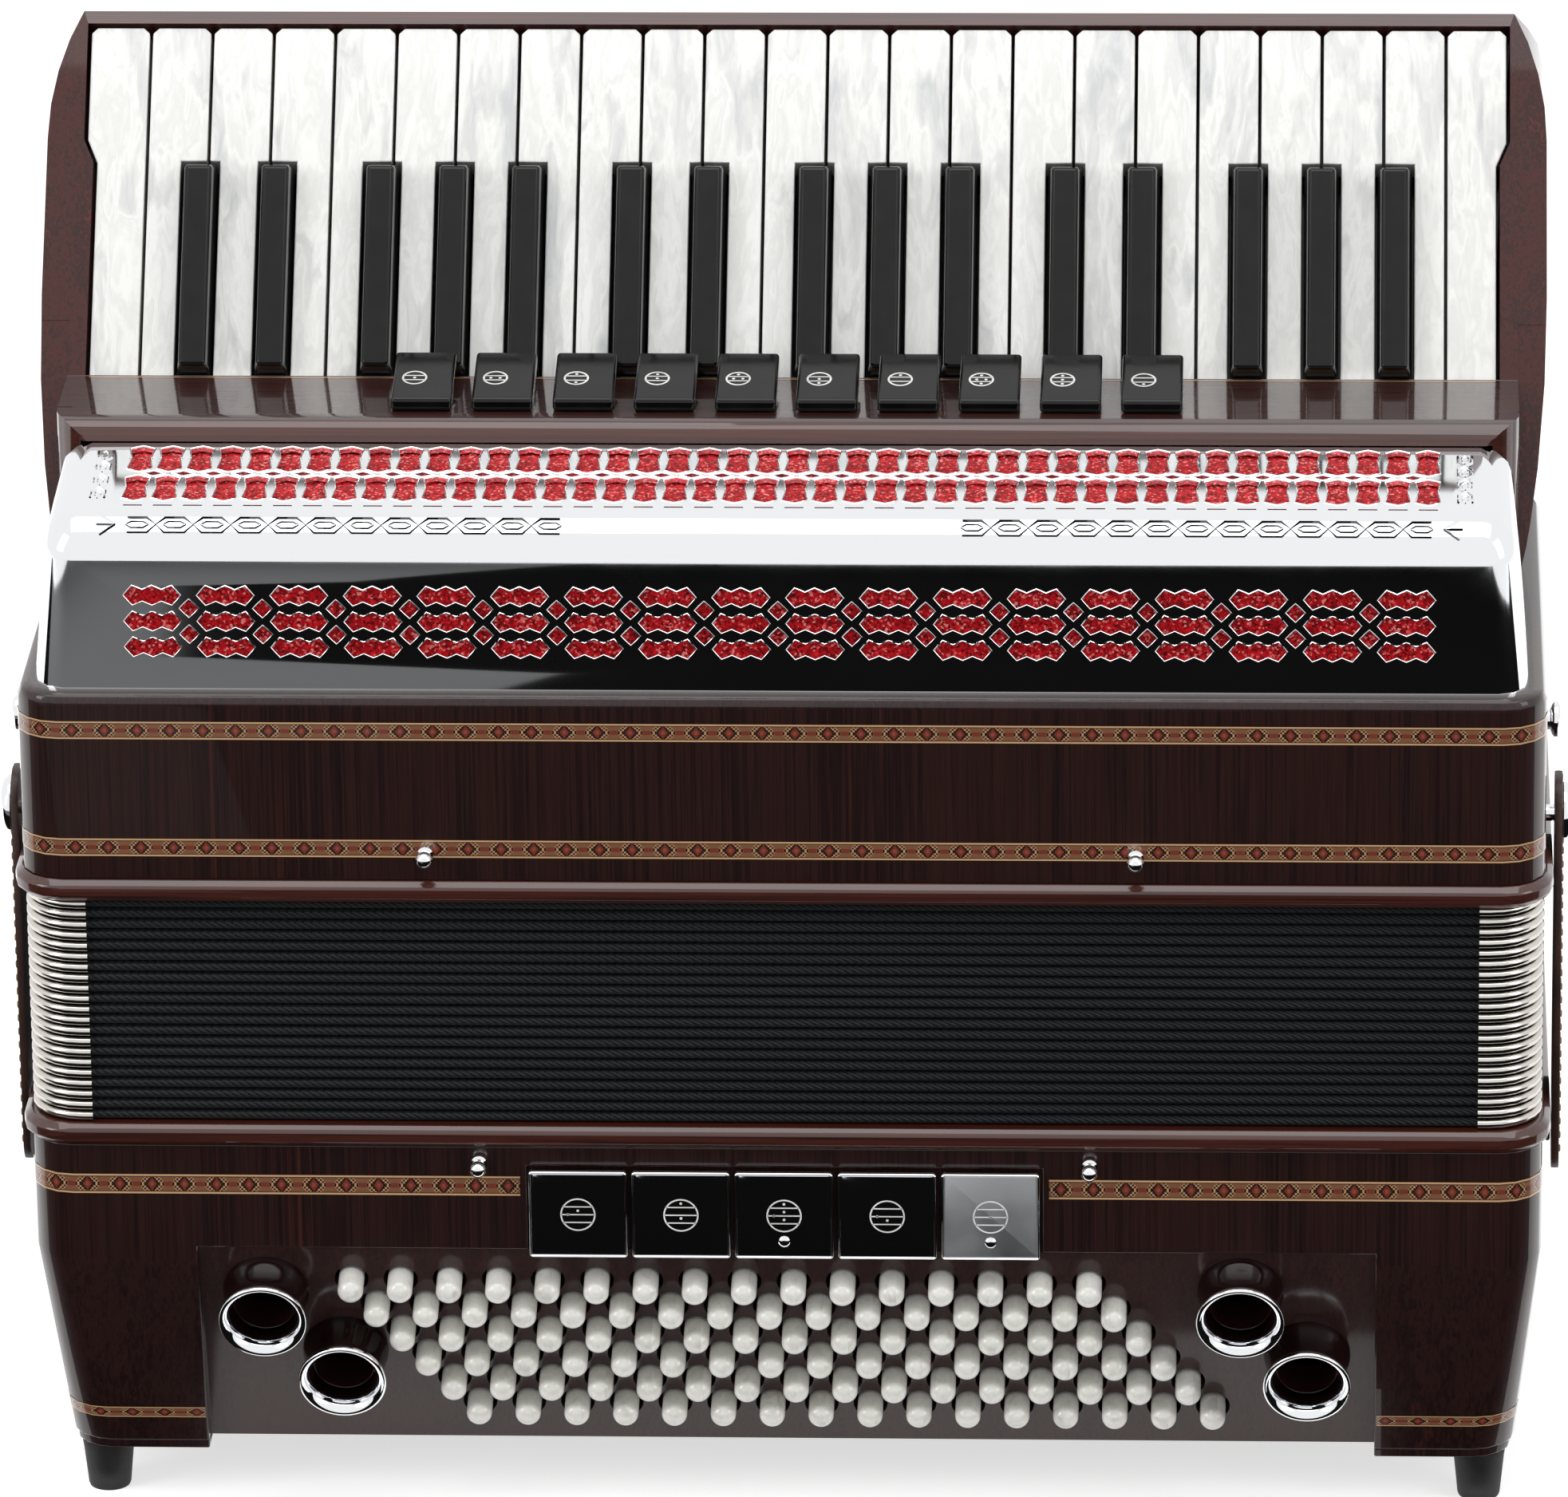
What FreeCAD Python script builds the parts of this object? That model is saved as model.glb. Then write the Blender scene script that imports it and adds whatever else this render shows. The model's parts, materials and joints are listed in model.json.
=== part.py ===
import FreeCAD, Part
import math
import os

# A piano accordion that stands on its bass feet: millimetres, X along the keyboard, Y back, Z up.
# The origin lies on the floor, under the middle of the whole object.
V = FreeCAD.Vector

# Casing, shared by both ends: as wide as the keyboard and its two cheeks
cheek_width = 11.225
body_depth = 190.0
casing_corner = 13.0
corner_flats = 4
casing_wall = 6.0
edge_round = 4.0
overrun = 5.0
seat_gap = 0.3
slide_gap = 0.5

# Heights, from the floor up
foot_height = 16.0
end_plate_thickness = 3.0
bass_slope_height = 69.0
bass_upright_height = 36.5
frame_height = 7.0
bellows_height = 72.0
treble_height = 59.0

end_plate_low = foot_height
bass_low = end_plate_low + end_plate_thickness
bass_bend = bass_low + bass_slope_height
bass_high = bass_bend + bass_upright_height
bellows_low = bass_high + frame_height
bellows_high = bellows_low + bellows_height
treble_low = bellows_high + frame_height
treble_high = treble_low + treble_height

# Bellows frames and folds
frame_reach = 2.5
frame_rim = 20.0
frame_bevel = 2.0
fold_count = 21
fold_depth = 11.0
fold_inset = 1.6
fold_cloth = 1.4
fold_bevel = 15.0
guard_gap = 0.1
guard_thickness = 0.8
guard_rib = 0.9

# Bass end: the lower part draws in on all sides
bass_side_draw = 7.5
bass_front_draw = 17.0
bass_back_draw = 5.0
end_plate_inset = 1.0

# Sloped panel that carries the bass buttons, with room for the ports at both sides
panel_margin = 47.6
panel_rise = 71.7
panel_top_set = 1.0
panel_foot_set = 22.2
panel_thickness = 5.0
button_rows = 6
buttons_per_row = 16
button_pitch = 14.9
button_row_pitch = 9.63
button_first_row = 12.4
button_radius = 3.9
button_stand = 9.0
button_inside = 9.0
button_travel = 3.0
button_clearance = 0.5
button_sides = 6
socket_sides = 4
port_sides = 12
foot_sides = 8
fitting_sides = 8
button_shift = -1.5

# Flared sound ports beside the buttons: which side, and shares of the side margin and of the slope
port_shares = [(-1, 0.419, 0.227), (-1, 0.905, 0.541), (1, 0.853, 0.200), (1, 0.430, 0.534)]
port_collar = 11.8
port_waist = 10.6
port_rim = 13.4
port_throat = 8.6
port_length = 16.0
port_lip = 3.0

# Bass register plates
register_count = 5
register_pitch = 31.1
register_width = 29.0
register_height = 28.8
register_overhang = 2.0
register_thickness = 2.4
register_stand = 1.8
register_travel = 2.5
register_shank = 8.0
register_shank_length = 14.0

# Feet
foot_top_radius = 8.0
foot_tip_radius = 6.4
foot_side_set = 10.5
foot_front_set = 23.0
foot_back_set = 20.0

# Hand strap under the bass end plate
hand_strap_width = 72.0
hand_strap_thickness = 3.0
hand_strap_set = 30.0
hand_strap_bow = 8.6
hand_strap_back_set = 68.0
strap_plate_thickness = 2.2
strap_plate_width = 16.0

# Round chrome fittings
pin_radius = 2.6
pin_shaft = 1.4
pin_stand = 5.0
treble_pin_x = 106.0
treble_pin_rise = 8.5
bass_pin_x = 92.0
bass_pin_drop = 5.5
stud_depth = 40.0
stud_post = 2.5
stud_cap = 9.4
stud_cap_thickness = 4.6
stud_rise = 8.0
knob_radius = 5.4
knob_neck = 3.0
knob_reach = 4.8
knob_drop = 21.0
catch_radius = 4.5
catch_drop = 8.0

# Leather straps that hold the bellows shut
strap_width = 20.0
strap_thickness = 2.4
strap_lap = 12.0

# Keyboard: the key plane leans back from the rear edge of the shelf
key_lean = math.radians(38.0)
white_count = 23
key_pitch = 18.85
key_gap = 1.0
white_length = 112.0
white_thickness = 12.0
key_tail = 8.0
tip_bevel = 1.8
black_width = 10.4
black_top_width = 8.0
black_rise = 7.0
black_length = 68.0
black_nose = 3.0
black_side_gap = 0.75
black_tail_gap = 1.0
key_travel_degrees = 2.2

# Where the black keys of one octave stand, as shares of a key pitch from each joint between white keys
octave_shift_shares = [None, -0.13, 0.12, None, -0.18, 0.0, 0.18]

# Key levers, axle and pallets
pivot_back = 22.0
pivot_drop = 7.0
axle_radius = 1.5
axle_clearance = 0.1
shank_half = 2.4
shank_end = 34.0
shank_drop = 2.0
white_pallet_depth = 30.0
black_pallet_depth = 56.0
pallet_reach = 7.0

# Keyboard body with its shelf
shelf_depth = 104.0
shelf_rise = 64.5
shelf_run = 44.0
shelf_thickness = 6.0
shelf_roll = 7.0
shelf_key_gap = 1.0
well_side_gap = 0.6
lever_side_gap = 2.0
hollow_side = 9.0
hollow_reach = 88.0
well_floor = 20.0
tip_gap = 1.0
tip_rail = 4.0
rail_drop = 26.0
rim_stand = 1.2
cheek_step = 3.1
cheek_step_from = 68.0
cheek_step_to = 75.5
rail_back = 1.5
back_inset = 1.0
back_wall = 8.0
cheek_bulge_low = 85.0
cheek_bulge_high = 125.0
cheek_base_draw = 11.0
cheek_top_draw = 10.0
cheek_margin = 0.5
cheek_flats = 4

# Register switches on the shelf
switch_count = 10
switch_pitch = 24.4
switch_width = 18.4
switch_key_gap = 7.0
switch_length = 26.5
switch_front_height = 4.2
switch_back_height = 10.2
switch_body = 5.0
switch_leg = 3.6
switch_leg_width = 8.0
switch_leg_drop = 9.0
switch_travel_degrees = 6.0

# Chrome grille
grille_metal = 1.6
grille_front_set = 5.0
grille_side_set = 5.5
grille_face_rise = 39.5
grille_face_lean = 2.5
grille_bend = 14.0
bend_flats = 5
grille_top_slope = math.radians(8.0)
grille_side_draw = 6.0
grille_corner = 9.0
grille_cloth_thickness = 1.0
grille_end_flats = 3
grille_border = 33.5
lozenge_columns = 18
lozenge_rows = 3
lozenge_half = 8.4
lozenge_height = 2.9
lozenge_row_pitch = 8.0
lozenge_middle_share = 0.53
diamond_half = 2.7
barrel_count = 44
barrel_rows = 2
barrel_border = 2.1
barrel_half = 2.9
barrel_waist_share = 0.55
barrel_front = 0.4
barrel_gap = 3.4
barrel_back = 14.3

# Reed blocks under the soundboard
reed_block_set = 32.0
reed_block_top = 46.0
reed_block_foot = 30.0
reed_block_height = 46.0
reed_block_depths = [20.0, 78.0]

# Widths that follow the keyboard
key_span = white_count * key_pitch
body_width = key_span + 2.0 * cheek_width
half_width = body_width / 2.0
well_half = key_span / 2.0 + well_side_gap
lever_well_half = (white_count - 1) / 2.0 * key_pitch + shank_half + lever_side_gap
hand_strap_reach = half_width - hand_strap_set
reed_block_half = half_width - reed_block_set
grille_pattern_half = half_width - grille_border

# Depths that follow the shelf and the keys
shelf_high = treble_high + shelf_rise
shelf_front = shelf_depth - shelf_run
switch_front = shelf_depth - switch_length - switch_key_gap
tip_along = white_length + tip_gap + tip_rail
body_back = shelf_depth + tip_along * math.sin(key_lean) + rail_drop * math.cos(key_lean) + rail_back

# The button panel is as wide as its rows and the margins beside them
button_field = (buttons_per_row - 1) * button_pitch + (button_rows - 1) * button_pitch / 2.0
panel_width = button_field + 2.0 * panel_margin
panel_high = bass_low + panel_rise
panel_lean = math.atan2(panel_foot_set - panel_top_set, panel_rise)
panel_slope = math.hypot(panel_foot_set - panel_top_set, panel_rise)

# The rim of the highest port reaches furthest forward, the back of the keyboard body furthest back
highest_port = min(down for side, across, down in port_shares) * panel_slope
port_mouth = (port_throat + port_lip / 2.0) * math.cos(math.pi / port_sides)
port_front = port_length * math.cos(panel_lean) - (highest_port - port_mouth) * math.sin(panel_lean)
front_reach = port_front - panel_top_set
front_y = (front_reach - body_back) / 2.0


def at(x, depth, z):
    """A point given by its depth behind the casing's front."""
    return V(x, front_y + depth, z)


def key_point(x, along, height):
    """A point in the key plane's own directions: along the key and above the white surface."""
    depth = shelf_depth + along * math.sin(key_lean) - height * math.cos(key_lean)
    z = shelf_high + along * math.cos(key_lean) + height * math.sin(key_lean)
    return at(x, depth, z)


def panel_point(x, down, out):
    """A point on the button panel: down its slope and out of its face."""
    depth = panel_top_set + down * math.sin(panel_lean) - out * math.cos(panel_lean)
    z = panel_high - down * math.cos(panel_lean) - out * math.sin(panel_lean)
    return at(x, depth, z)


def rounded_ring(half_x, depth_low, depth_high, radius, z):
    """The corners of a rounded rectangle at one height, with a few flats to each rounded corner."""
    points = []
    centres = [(half_x - radius, depth_high - radius), (radius - half_x, depth_high - radius)]
    centres += [(radius - half_x, depth_low + radius), (half_x - radius, depth_low + radius)]
    for quarter, (x, depth) in enumerate(centres):
        for number in range(corner_flats + 1):
            turn = (quarter + number / corner_flats) * math.pi / 2.0
            points.append(at(x + radius * math.cos(turn), depth + radius * math.sin(turn), z))
    return points


def bevelled_ring(half_x, depth_low, depth_high, bevel, z):
    """The corners of a rectangle with straight bevels at one height."""
    spots = [(half_x, depth_high - bevel), (half_x - bevel, depth_high)]
    spots += [(bevel - half_x, depth_high), (-half_x, depth_high - bevel)]
    spots += [(-half_x, depth_low + bevel), (bevel - half_x, depth_low)]
    spots += [(half_x - bevel, depth_low), (half_x, depth_low + bevel)]
    return [at(x, depth, z) for x, depth in spots]


def prism(points, direction):
    """A polygon pushed along a direction."""
    return Part.Face(Part.makePolygon(points + points[:1])).extrude(direction)


def rounded_block(half_x, depth_low, depth_high, radius, z_low, z_high):
    """An upright block with rounded corners."""
    return flat_loft([rounded_ring(half_x, depth_low, depth_high, radius, z) for z in (z_low, z_high)])


def side_prism(spots, x_low, x_high):
    """A profile of depths and heights pushed across the width."""
    return prism([at(x_low, depth, z) for depth, z in spots], V(x_high - x_low, 0, 0))


def key_prism(spots, height_low, height_high):
    """A plan in the key plane, pushed square to it."""
    points = [key_point(x, along, height_low) for x, along in spots]
    return prism(points, key_point(0, 0, height_high) - key_point(0, 0, height_low))


def box(x_low, x_high, depth_low, depth_high, z_low, z_high):
    """A plain block between six named faces."""
    size = (x_high - x_low, depth_high - depth_low, z_high - z_low)
    return Part.makeBox(*size, at(x_low, depth_low, z_low))


def turned(spots, base, axis, sides):
    """Radii and distances turned into a many-sided solid round an axis that starts at a point."""
    pieces = []
    for (radius_low, low), (radius_high, high) in zip(spots, spots[1:]):
        if high > low:
            rings = [many_sided_ring(radius_low, low, sides), many_sided_ring(radius_high, high, sides)]
            pieces.append(flat_loft(rings))
    solid = joined(pieces) if len(pieces) > 1 else pieces[0]
    solid.Placement = FreeCAD.Placement(base, FreeCAD.Rotation(V(0, 0, 1), axis))
    return solid


def many_sided_ring(radius, distance, sides):
    """The corners of a regular polygon at one distance along the axis."""
    turns = [(number + 0.5) * 2.0 * math.pi / sides for number in range(sides)]
    return [V(radius * math.cos(turn), radius * math.sin(turn), distance) for turn in turns]


def flat_faces(rings):
    """Flat four-sided faces between rings of the same number of corners."""
    faces = []
    for low, high in zip(rings, rings[1:]):
        for number in range(len(low)):
            after = (number + 1) % len(low)
            corners = [low[number], low[after], high[after], high[number]]
            faces.append(Part.Face(Part.makePolygon(corners + corners[:1])))
    return faces


def flat_loft(rings):
    """A solid through rings of corners, closed at both ends, all of its faces flat."""
    faces = flat_faces(rings)
    for ring in (rings[0], rings[-1]):
        faces.append(Part.Face(Part.makePolygon(ring + ring[:1])))
    return Part.makeSolid(Part.makeShell(faces))


def joined(shapes):
    """One solid from pieces that meet."""
    return shapes[0].multiFuse(shapes[1:]).removeSplitter()


def without(shape, cutters):
    """A solid less its cutters, taken together."""
    return shape.cut(Part.makeCompound(cutters))


def casing_block(inset, z_low, z_high):
    """The upright casing outline, drawn in evenly."""
    radius = casing_corner - inset
    return rounded_block(half_width - inset, inset, body_depth - inset, radius, z_low, z_high)


def bass_taper(inset, z_low_extra):
    """The drawn-in lower part of the bass end."""
    stretch = (bass_slope_height + z_low_extra) / bass_slope_height
    side = bass_side_draw * stretch
    front = bass_front_draw * stretch
    back = bass_back_draw * stretch
    radius = casing_corner - inset
    high = rounded_ring(half_width - inset, inset, body_depth - inset, radius, bass_bend)
    z_low = bass_low - z_low_extra
    low = rounded_ring(half_width - side - inset, front + inset, body_depth - back - inset, radius, z_low)
    return flat_loft([low, high])


def make_bass_box():
    """The bass casing: open towards the bellows, the end plate and the button panel."""
    outer = joined([bass_taper(0, 0), casing_block(0, bass_bend, bass_high)])
    upright = casing_block(casing_wall, bass_bend, bass_high + overrun)
    inner = joined([bass_taper(casing_wall, overrun), upright])
    half = panel_width / 2.0
    window = box(-half, half, -overrun, body_depth / 2.0, bass_low - overrun, panel_high)
    reach = (register_count * register_pitch) / 2.0
    bed_high = panel_high - register_overhang + register_height + slide_gap
    bed = box(-reach, reach, -overrun, register_travel - register_stand + slide_gap, panel_high, bed_high)
    cutters = [inner, window, bed]
    shank = register_shank / 2.0 + seat_gap
    middle = panel_high - register_overhang + register_height / 2.0
    for number in range(register_count):
        x = (number - (register_count - 1) / 2.0) * register_pitch
        hole_back = casing_wall + overrun
        cutters.append(box(x - shank, x + shank, -overrun, hole_back, middle - shank, middle + shank))
    return without(outer, cutters)


def make_end_plate():
    """The flat plate that closes the bass end and carries the feet and the hand strap."""
    side = half_width - bass_side_draw - end_plate_inset
    front = bass_front_draw + end_plate_inset
    back = body_depth - bass_back_draw - end_plate_inset
    return rounded_block(side, front, back, casing_corner - end_plate_inset, end_plate_low, bass_low)


def button_spots():
    """Every bass button's place on the panel: each row steps aside by half a pitch."""
    first = button_shift - button_field / 2.0
    spots = []
    for row in range(button_rows):
        for number in range(buttons_per_row):
            x = first + number * button_pitch + row * button_pitch / 2.0
            spots.append((x, button_first_row + row * button_row_pitch))
    return spots


def many_sided(x, down, radius, sides, out_low, out_high):
    """An upright of few sides standing out of the panel."""
    points = []
    for number in range(sides):
        angle = (number + 0.5) * 2.0 * math.pi / sides
        points.append(panel_point(x + radius * math.cos(angle), down + radius * math.sin(angle), out_low))
    return prism(points, panel_point(0, 0, out_high) - panel_point(0, 0, out_low))


def port_spots():
    """Places of the four sound ports on the panel."""
    spots = []
    for side, across, down in port_shares:
        spots.append((side * (panel_width / 2.0 - across * panel_margin), down * panel_slope))
    return spots


def panel_outward():
    """The direction straight out of the panel's face."""
    return V(0, -math.cos(panel_lean), -math.sin(panel_lean))


def make_button_panel():
    """The sloped wooden panel with a hole for each button and each port."""
    half = panel_width / 2.0
    front = [(panel_top_set, panel_high), (panel_foot_set, bass_low)]
    back = [(panel_foot_set + panel_thickness, bass_low), (panel_top_set + panel_thickness, panel_high)]
    panel = side_prism(front + back, -half, half)
    hole = (button_radius + button_clearance) / math.cos(math.pi / socket_sides)
    low = -panel_thickness - overrun
    cutters = [many_sided(x, down, hole, socket_sides, low, overrun) for x, down in button_spots()]
    bore = [(port_throat, -panel_thickness - overrun), (port_throat, overrun)]
    for x, down in port_spots():
        cutters.append(turned(bore, panel_point(x, down, 0), panel_outward(), port_sides))
    return without(panel, cutters)


def make_buttons():
    """All bass buttons, each through its own hole."""
    solids = []
    for x, down in button_spots():
        solids.append(many_sided(x, down, button_radius, button_sides, -button_inside, button_stand))
    return Part.makeCompound(solids)


def make_ports():
    """Four short flared tubes standing on the panel."""
    outward = panel_outward()
    neck = port_length - port_lip
    profile = [(port_collar, 0), (port_waist, neck - port_lip), (port_rim, neck)]
    profile += [(port_rim, port_length - port_lip / 2.0), (port_throat + port_lip / 2.0, port_length)]
    bore = [(port_throat, -overrun), (port_throat, port_length + overrun)]
    solids = []
    for x, down in port_spots():
        base = panel_point(x, down, 0)
        solids.append(turned(profile, base, outward, port_sides).cut(turned(bore, base, outward, port_sides)))
    return Part.makeCompound(solids)


def make_registers():
    """Five chrome plates in front of the bass casing, each on its shank."""
    low = panel_high - register_overhang
    middle = low + register_height / 2.0
    half = register_width / 2.0
    shank = register_shank / 2.0
    solids = []
    for number in range(register_count):
        x = (number - (register_count - 1) / 2.0) * register_pitch
        front = -register_stand - register_thickness
        plate = box(x - half, x + half, front, -register_stand, low, low + register_height)
        back = register_shank_length
        stem = box(x - shank, x + shank, -register_stand, back, middle - shank, middle + shank)
        solids.append(joined([plate, stem]))
    return Part.makeCompound(solids)


def make_feet():
    """Four rubber feet at the corners of the end plate."""
    side = half_width - bass_side_draw - foot_side_set
    profile = [(foot_tip_radius, 0), (foot_top_radius, foot_height)]
    solids = []
    for x in (-side, side):
        for depth in (bass_front_draw + foot_side_set, body_depth - bass_back_draw - foot_back_set):
            solids.append(turned(profile, at(x, depth, 0), V(0, 0, 1), foot_sides))
    return Part.makeCompound(solids)


def make_hand_strap():
    """The bowed leather strap that the left hand goes through."""
    top = end_plate_low - seat_gap
    depth = body_depth - hand_strap_back_set - hand_strap_width / 2.0
    reach = hand_strap_reach

    def bow(z):
        """One arc along the strap, lowest in the middle."""
        lowest = at(0, depth, z - hand_strap_bow)
        return Part.Arc(at(-reach, depth, z), lowest, at(reach, depth, z)).toShape()

    low = top - hand_strap_thickness
    ends = [Part.LineSegment(at(reach, depth, top), at(reach, depth, low)).toShape()]
    ends.append(Part.LineSegment(at(-reach, depth, low), at(-reach, depth, top)).toShape())
    wire = Part.Wire(Part.__sortEdges__([bow(top), bow(low)] + ends))
    return Part.Face(wire).extrude(V(0, hand_strap_width, 0))


def ring_frame(z_low):
    """A moulded frame that the bellows is fixed to, its outer edges bevelled."""
    rings = []
    z_high = z_low + frame_height
    steps = [(0, z_low), (frame_bevel, z_low + frame_bevel), (frame_bevel, z_high - frame_bevel), (0, z_high)]
    for reach, z in steps:
        reach += frame_reach - frame_bevel
        rings.append(rounded_ring(half_width + reach, -reach, body_depth + reach, casing_corner + reach, z))
    outer = flat_loft(rings)
    hole = rounded_block(half_width - frame_rim, frame_rim, body_depth - frame_rim, casing_corner,
                         z_low - overrun, z_low + frame_height + overrun)
    return outer.cut(hole)


def fold_sections(grow):
    """Outlines up the bellows, in and out at every fold."""
    rings = []
    pitch = bellows_height / fold_count
    for number in range(2 * fold_count + 1):
        inset = fold_inset - grow
        if number % 2 == 0:
            inset += fold_depth
        z = bellows_low + number * pitch / 2.0
        rings.append(bevelled_ring(half_width - inset, inset, body_depth - inset, fold_bevel, z))
    return rings


def make_folds():
    """The pleated tube of the bellows."""
    return flat_loft(fold_sections(0)).cut(flat_loft(fold_sections(-fold_cloth)))


def make_bellows_corners():
    """Ribbed metal guards over the four bevels of the folds."""
    half = half_width - fold_inset
    pitch = bellows_height / fold_count
    run = fold_bevel
    solids = []
    for side in (-1, 1):
        for end, ridge in ((-1, fold_inset), (1, body_depth - fold_inset)):
            start = at(side * half, ridge - end * run, 0)
            outward = V(side, end, 0).normalize()
            points = [start + outward * guard_gap + V(0, 0, z) for z in (bellows_high, bellows_low)]
            for number in range(2 * fold_count + 1):
                stand = guard_gap + guard_thickness + guard_rib * (number % 2)
                points.append(start + outward * stand + V(0, 0, bellows_low + number * pitch / 2.0))
            solids.append(prism(points, V(-side * run, end * run, 0)))
    return Part.makeCompound(solids)


def make_treble_box():
    """The treble casing, closed by its soundboard and open towards the bellows."""
    rings = []
    edge_shares = [1.0, 0.3, 0.0]
    for share in edge_shares:
        inset = edge_round * (1.0 - math.sqrt(1.0 - (1.0 - share) ** 2))
        z = treble_high - edge_round * share
        rings.append(rounded_ring(half_width - inset, inset, body_depth - inset, casing_corner - inset, z))
    base = rounded_ring(half_width, 0, body_depth, casing_corner, treble_low)
    outer = flat_loft([base] + rings)
    return outer.cut(casing_block(casing_wall, treble_low - overrun, treble_high - casing_wall))


def make_reed_blocks():
    """Two wooden reed blocks that hang from the soundboard."""
    high = treble_high - casing_wall
    low = high - reed_block_height
    inset = (reed_block_top - reed_block_foot) / 2.0
    solids = []
    for depth in reed_block_depths:
        spots = [(depth, high), (depth + inset, low), (depth + inset + reed_block_foot, low)]
        spots.append((depth + reed_block_top, high))
        solids.append(side_prism(spots, -reed_block_half, reed_block_half))
    return Part.makeCompound(solids)


def white_centre(number):
    """The middle of a white key."""
    return (number - (white_count - 1) / 2.0) * key_pitch


def black_joints():
    """The joints between white keys that carry a black key, with its shift."""
    found = []
    for number in range(white_count - 1):
        shift = octave_shift_shares[number % len(octave_shift_shares)]
        if shift is not None:
            found.append((number, shift))
    return found


def black_centres():
    """The middle of every black key."""
    return [white_centre(number) + key_pitch * (0.5 + shift) for number, shift in black_joints()]


def black_groups():
    """Black keys in their twos and threes."""
    groups = []
    last = None
    for (number, shift), centre in zip(black_joints(), black_centres()):
        if last is None or number > last + 1:
            groups.append([])
        groups[-1].append(centre)
        last = number
    return groups


def lever(x, pallet_depth, tail):
    """The hidden half of a key: a shank that hooks over the axle, and an arm that ends in its pallet."""
    spots = [(x - shank_half, -tail), (x + shank_half, -tail)]
    spots += [(x + shank_half, -shank_end), (x - shank_half, -shank_end)]
    shank = key_prism(spots, -white_thickness, -shank_drop)
    slot = axle_radius + axle_clearance
    side = shank_half + overrun
    notch_spots = [(x - side, -pivot_back - slot), (x + side, -pivot_back - slot)]
    notch_spots += [(x + side, -pivot_back + slot), (x - side, -pivot_back + slot)]
    notch = key_prism(notch_spots, -white_thickness - overrun, -pivot_drop + slot)
    pallet_low = treble_high + seat_gap
    profile = [spot(key_point(0, -shank_end, -shank_drop)), spot(key_point(0, -shank_end, -white_thickness))]
    profile += [(pallet_depth + pallet_reach, pallet_low), (pallet_depth - pallet_reach, pallet_low)]
    arm = side_prism(profile, x - shank_half, x + shank_half)
    return joined([shank.cut(notch), arm])


def white_key(number):
    """A white key: pearl head with the cut-outs beside its black keys, lever, arm and pallet."""
    x = white_centre(number)
    half = (key_pitch - key_gap) / 2.0
    cut = black_width / 2.0 + black_side_gap
    step = black_length + black_side_gap
    left = x - half
    right = x + half
    left_notch = left
    right_notch = right
    for centre in black_centres():
        if left < centre + cut and centre < x:
            left_notch = max(left_notch, centre + cut)
        if centre - cut < right and centre > x:
            right_notch = min(right_notch, centre - cut)
    if number == 0:
        left_notch = left + cheek_step
    if number == white_count - 1:
        right_notch = right - cheek_step
    plan = [(left_notch, -key_tail), (right_notch, -key_tail)]
    if right_notch < right:
        plan += [(right_notch, cheek_step_from if number == white_count - 1 else step)]
        plan += [(right, cheek_step_to if number == white_count - 1 else step)]
    plan += [(right, white_length - tip_bevel), (right - tip_bevel, white_length)]
    plan += [(left + tip_bevel, white_length), (left, white_length - tip_bevel)]
    if left_notch > left:
        plan += [(left, cheek_step_to if number == 0 else step)]
        plan += [(left_notch, cheek_step_from if number == 0 else step)]
    head = key_prism(plan, -white_thickness, 0)
    return joined([head, lever(x, white_pallet_depth, key_tail)])


def black_key(x):
    """A black key: a drawn-in block that stands above the white keys, on its lever."""
    half = black_width / 2.0
    top = black_top_width / 2.0
    low = [key_point(x - half, rim_stand, 0), key_point(x + half, rim_stand, 0)]
    low += [key_point(x + half, black_length, 0), key_point(x - half, black_length, 0)]
    high = [key_point(x - top, rim_stand, black_rise), key_point(x + top, rim_stand, black_rise)]
    high += [key_point(x + top, black_length - black_nose, black_rise)]
    high += [key_point(x - top, black_length - black_nose, black_rise)]
    wires = [Part.makePolygon(corner + corner[:1]) for corner in (low, high)]
    crown = Part.makeLoft(wires, True, True)
    tail = key_tail - black_tail_gap
    plan = [(x - half, -tail), (x + half, -tail), (x + half, black_length), (x - half, black_length)]
    head = key_prism(plan, -white_thickness, 0)
    return joined([crown, head, lever(x, black_pallet_depth, tail)])


def make_axle():
    """The steel rod that every key turns on."""
    reach = well_half + casing_wall / 2.0
    start = key_point(-reach, -pivot_back, -pivot_drop)
    return turned([(axle_radius, 0), (axle_radius, 2.0 * reach)], start, V(1, 0, 0), fitting_sides)


def cheek_curve(x_flat, z_flat, x_end, z_end):
    """Flats along an arc that leaves the widest stretch upright."""
    drop = x_flat - x_end
    run = z_end - z_flat
    radius = (run * run + drop * drop) / (2.0 * drop)
    turns = [math.asin(run / radius) * number / cheek_flats for number in range(cheek_flats + 1)]
    return [(x_flat - radius * (1.0 - math.cos(turn)), z_flat + radius * math.sin(turn)) for turn in turns]


def keyboard_outline(z_low, z_high):
    """The keyboard body seen from the front, with bulging cheeks."""
    wide = half_width + cheek_margin
    low = cheek_curve(wide, treble_high + cheek_bulge_low, wide - cheek_base_draw, z_low)
    high = cheek_curve(wide, treble_high + cheek_bulge_high, wide - cheek_top_draw, z_high)
    right = list(reversed(low)) + high
    left = [(-x, z) for x, z in reversed(right)]
    points = [at(x, -overrun, z) for x, z in right + left]
    return prism(points, V(0, body_back + 3.0 * overrun, 0))


def spot(point):
    """The depth and height of a point."""
    return (point.y - front_y, point.z)


def back_depth(z):
    """How far back the keyboard body's leaning back lies at a height."""
    high = spot(key_point(0, tip_along, -rail_drop))[1]
    low = body_depth - back_inset
    return low + (body_back - low) * (z - treble_high) / (high - treble_high)


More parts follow.
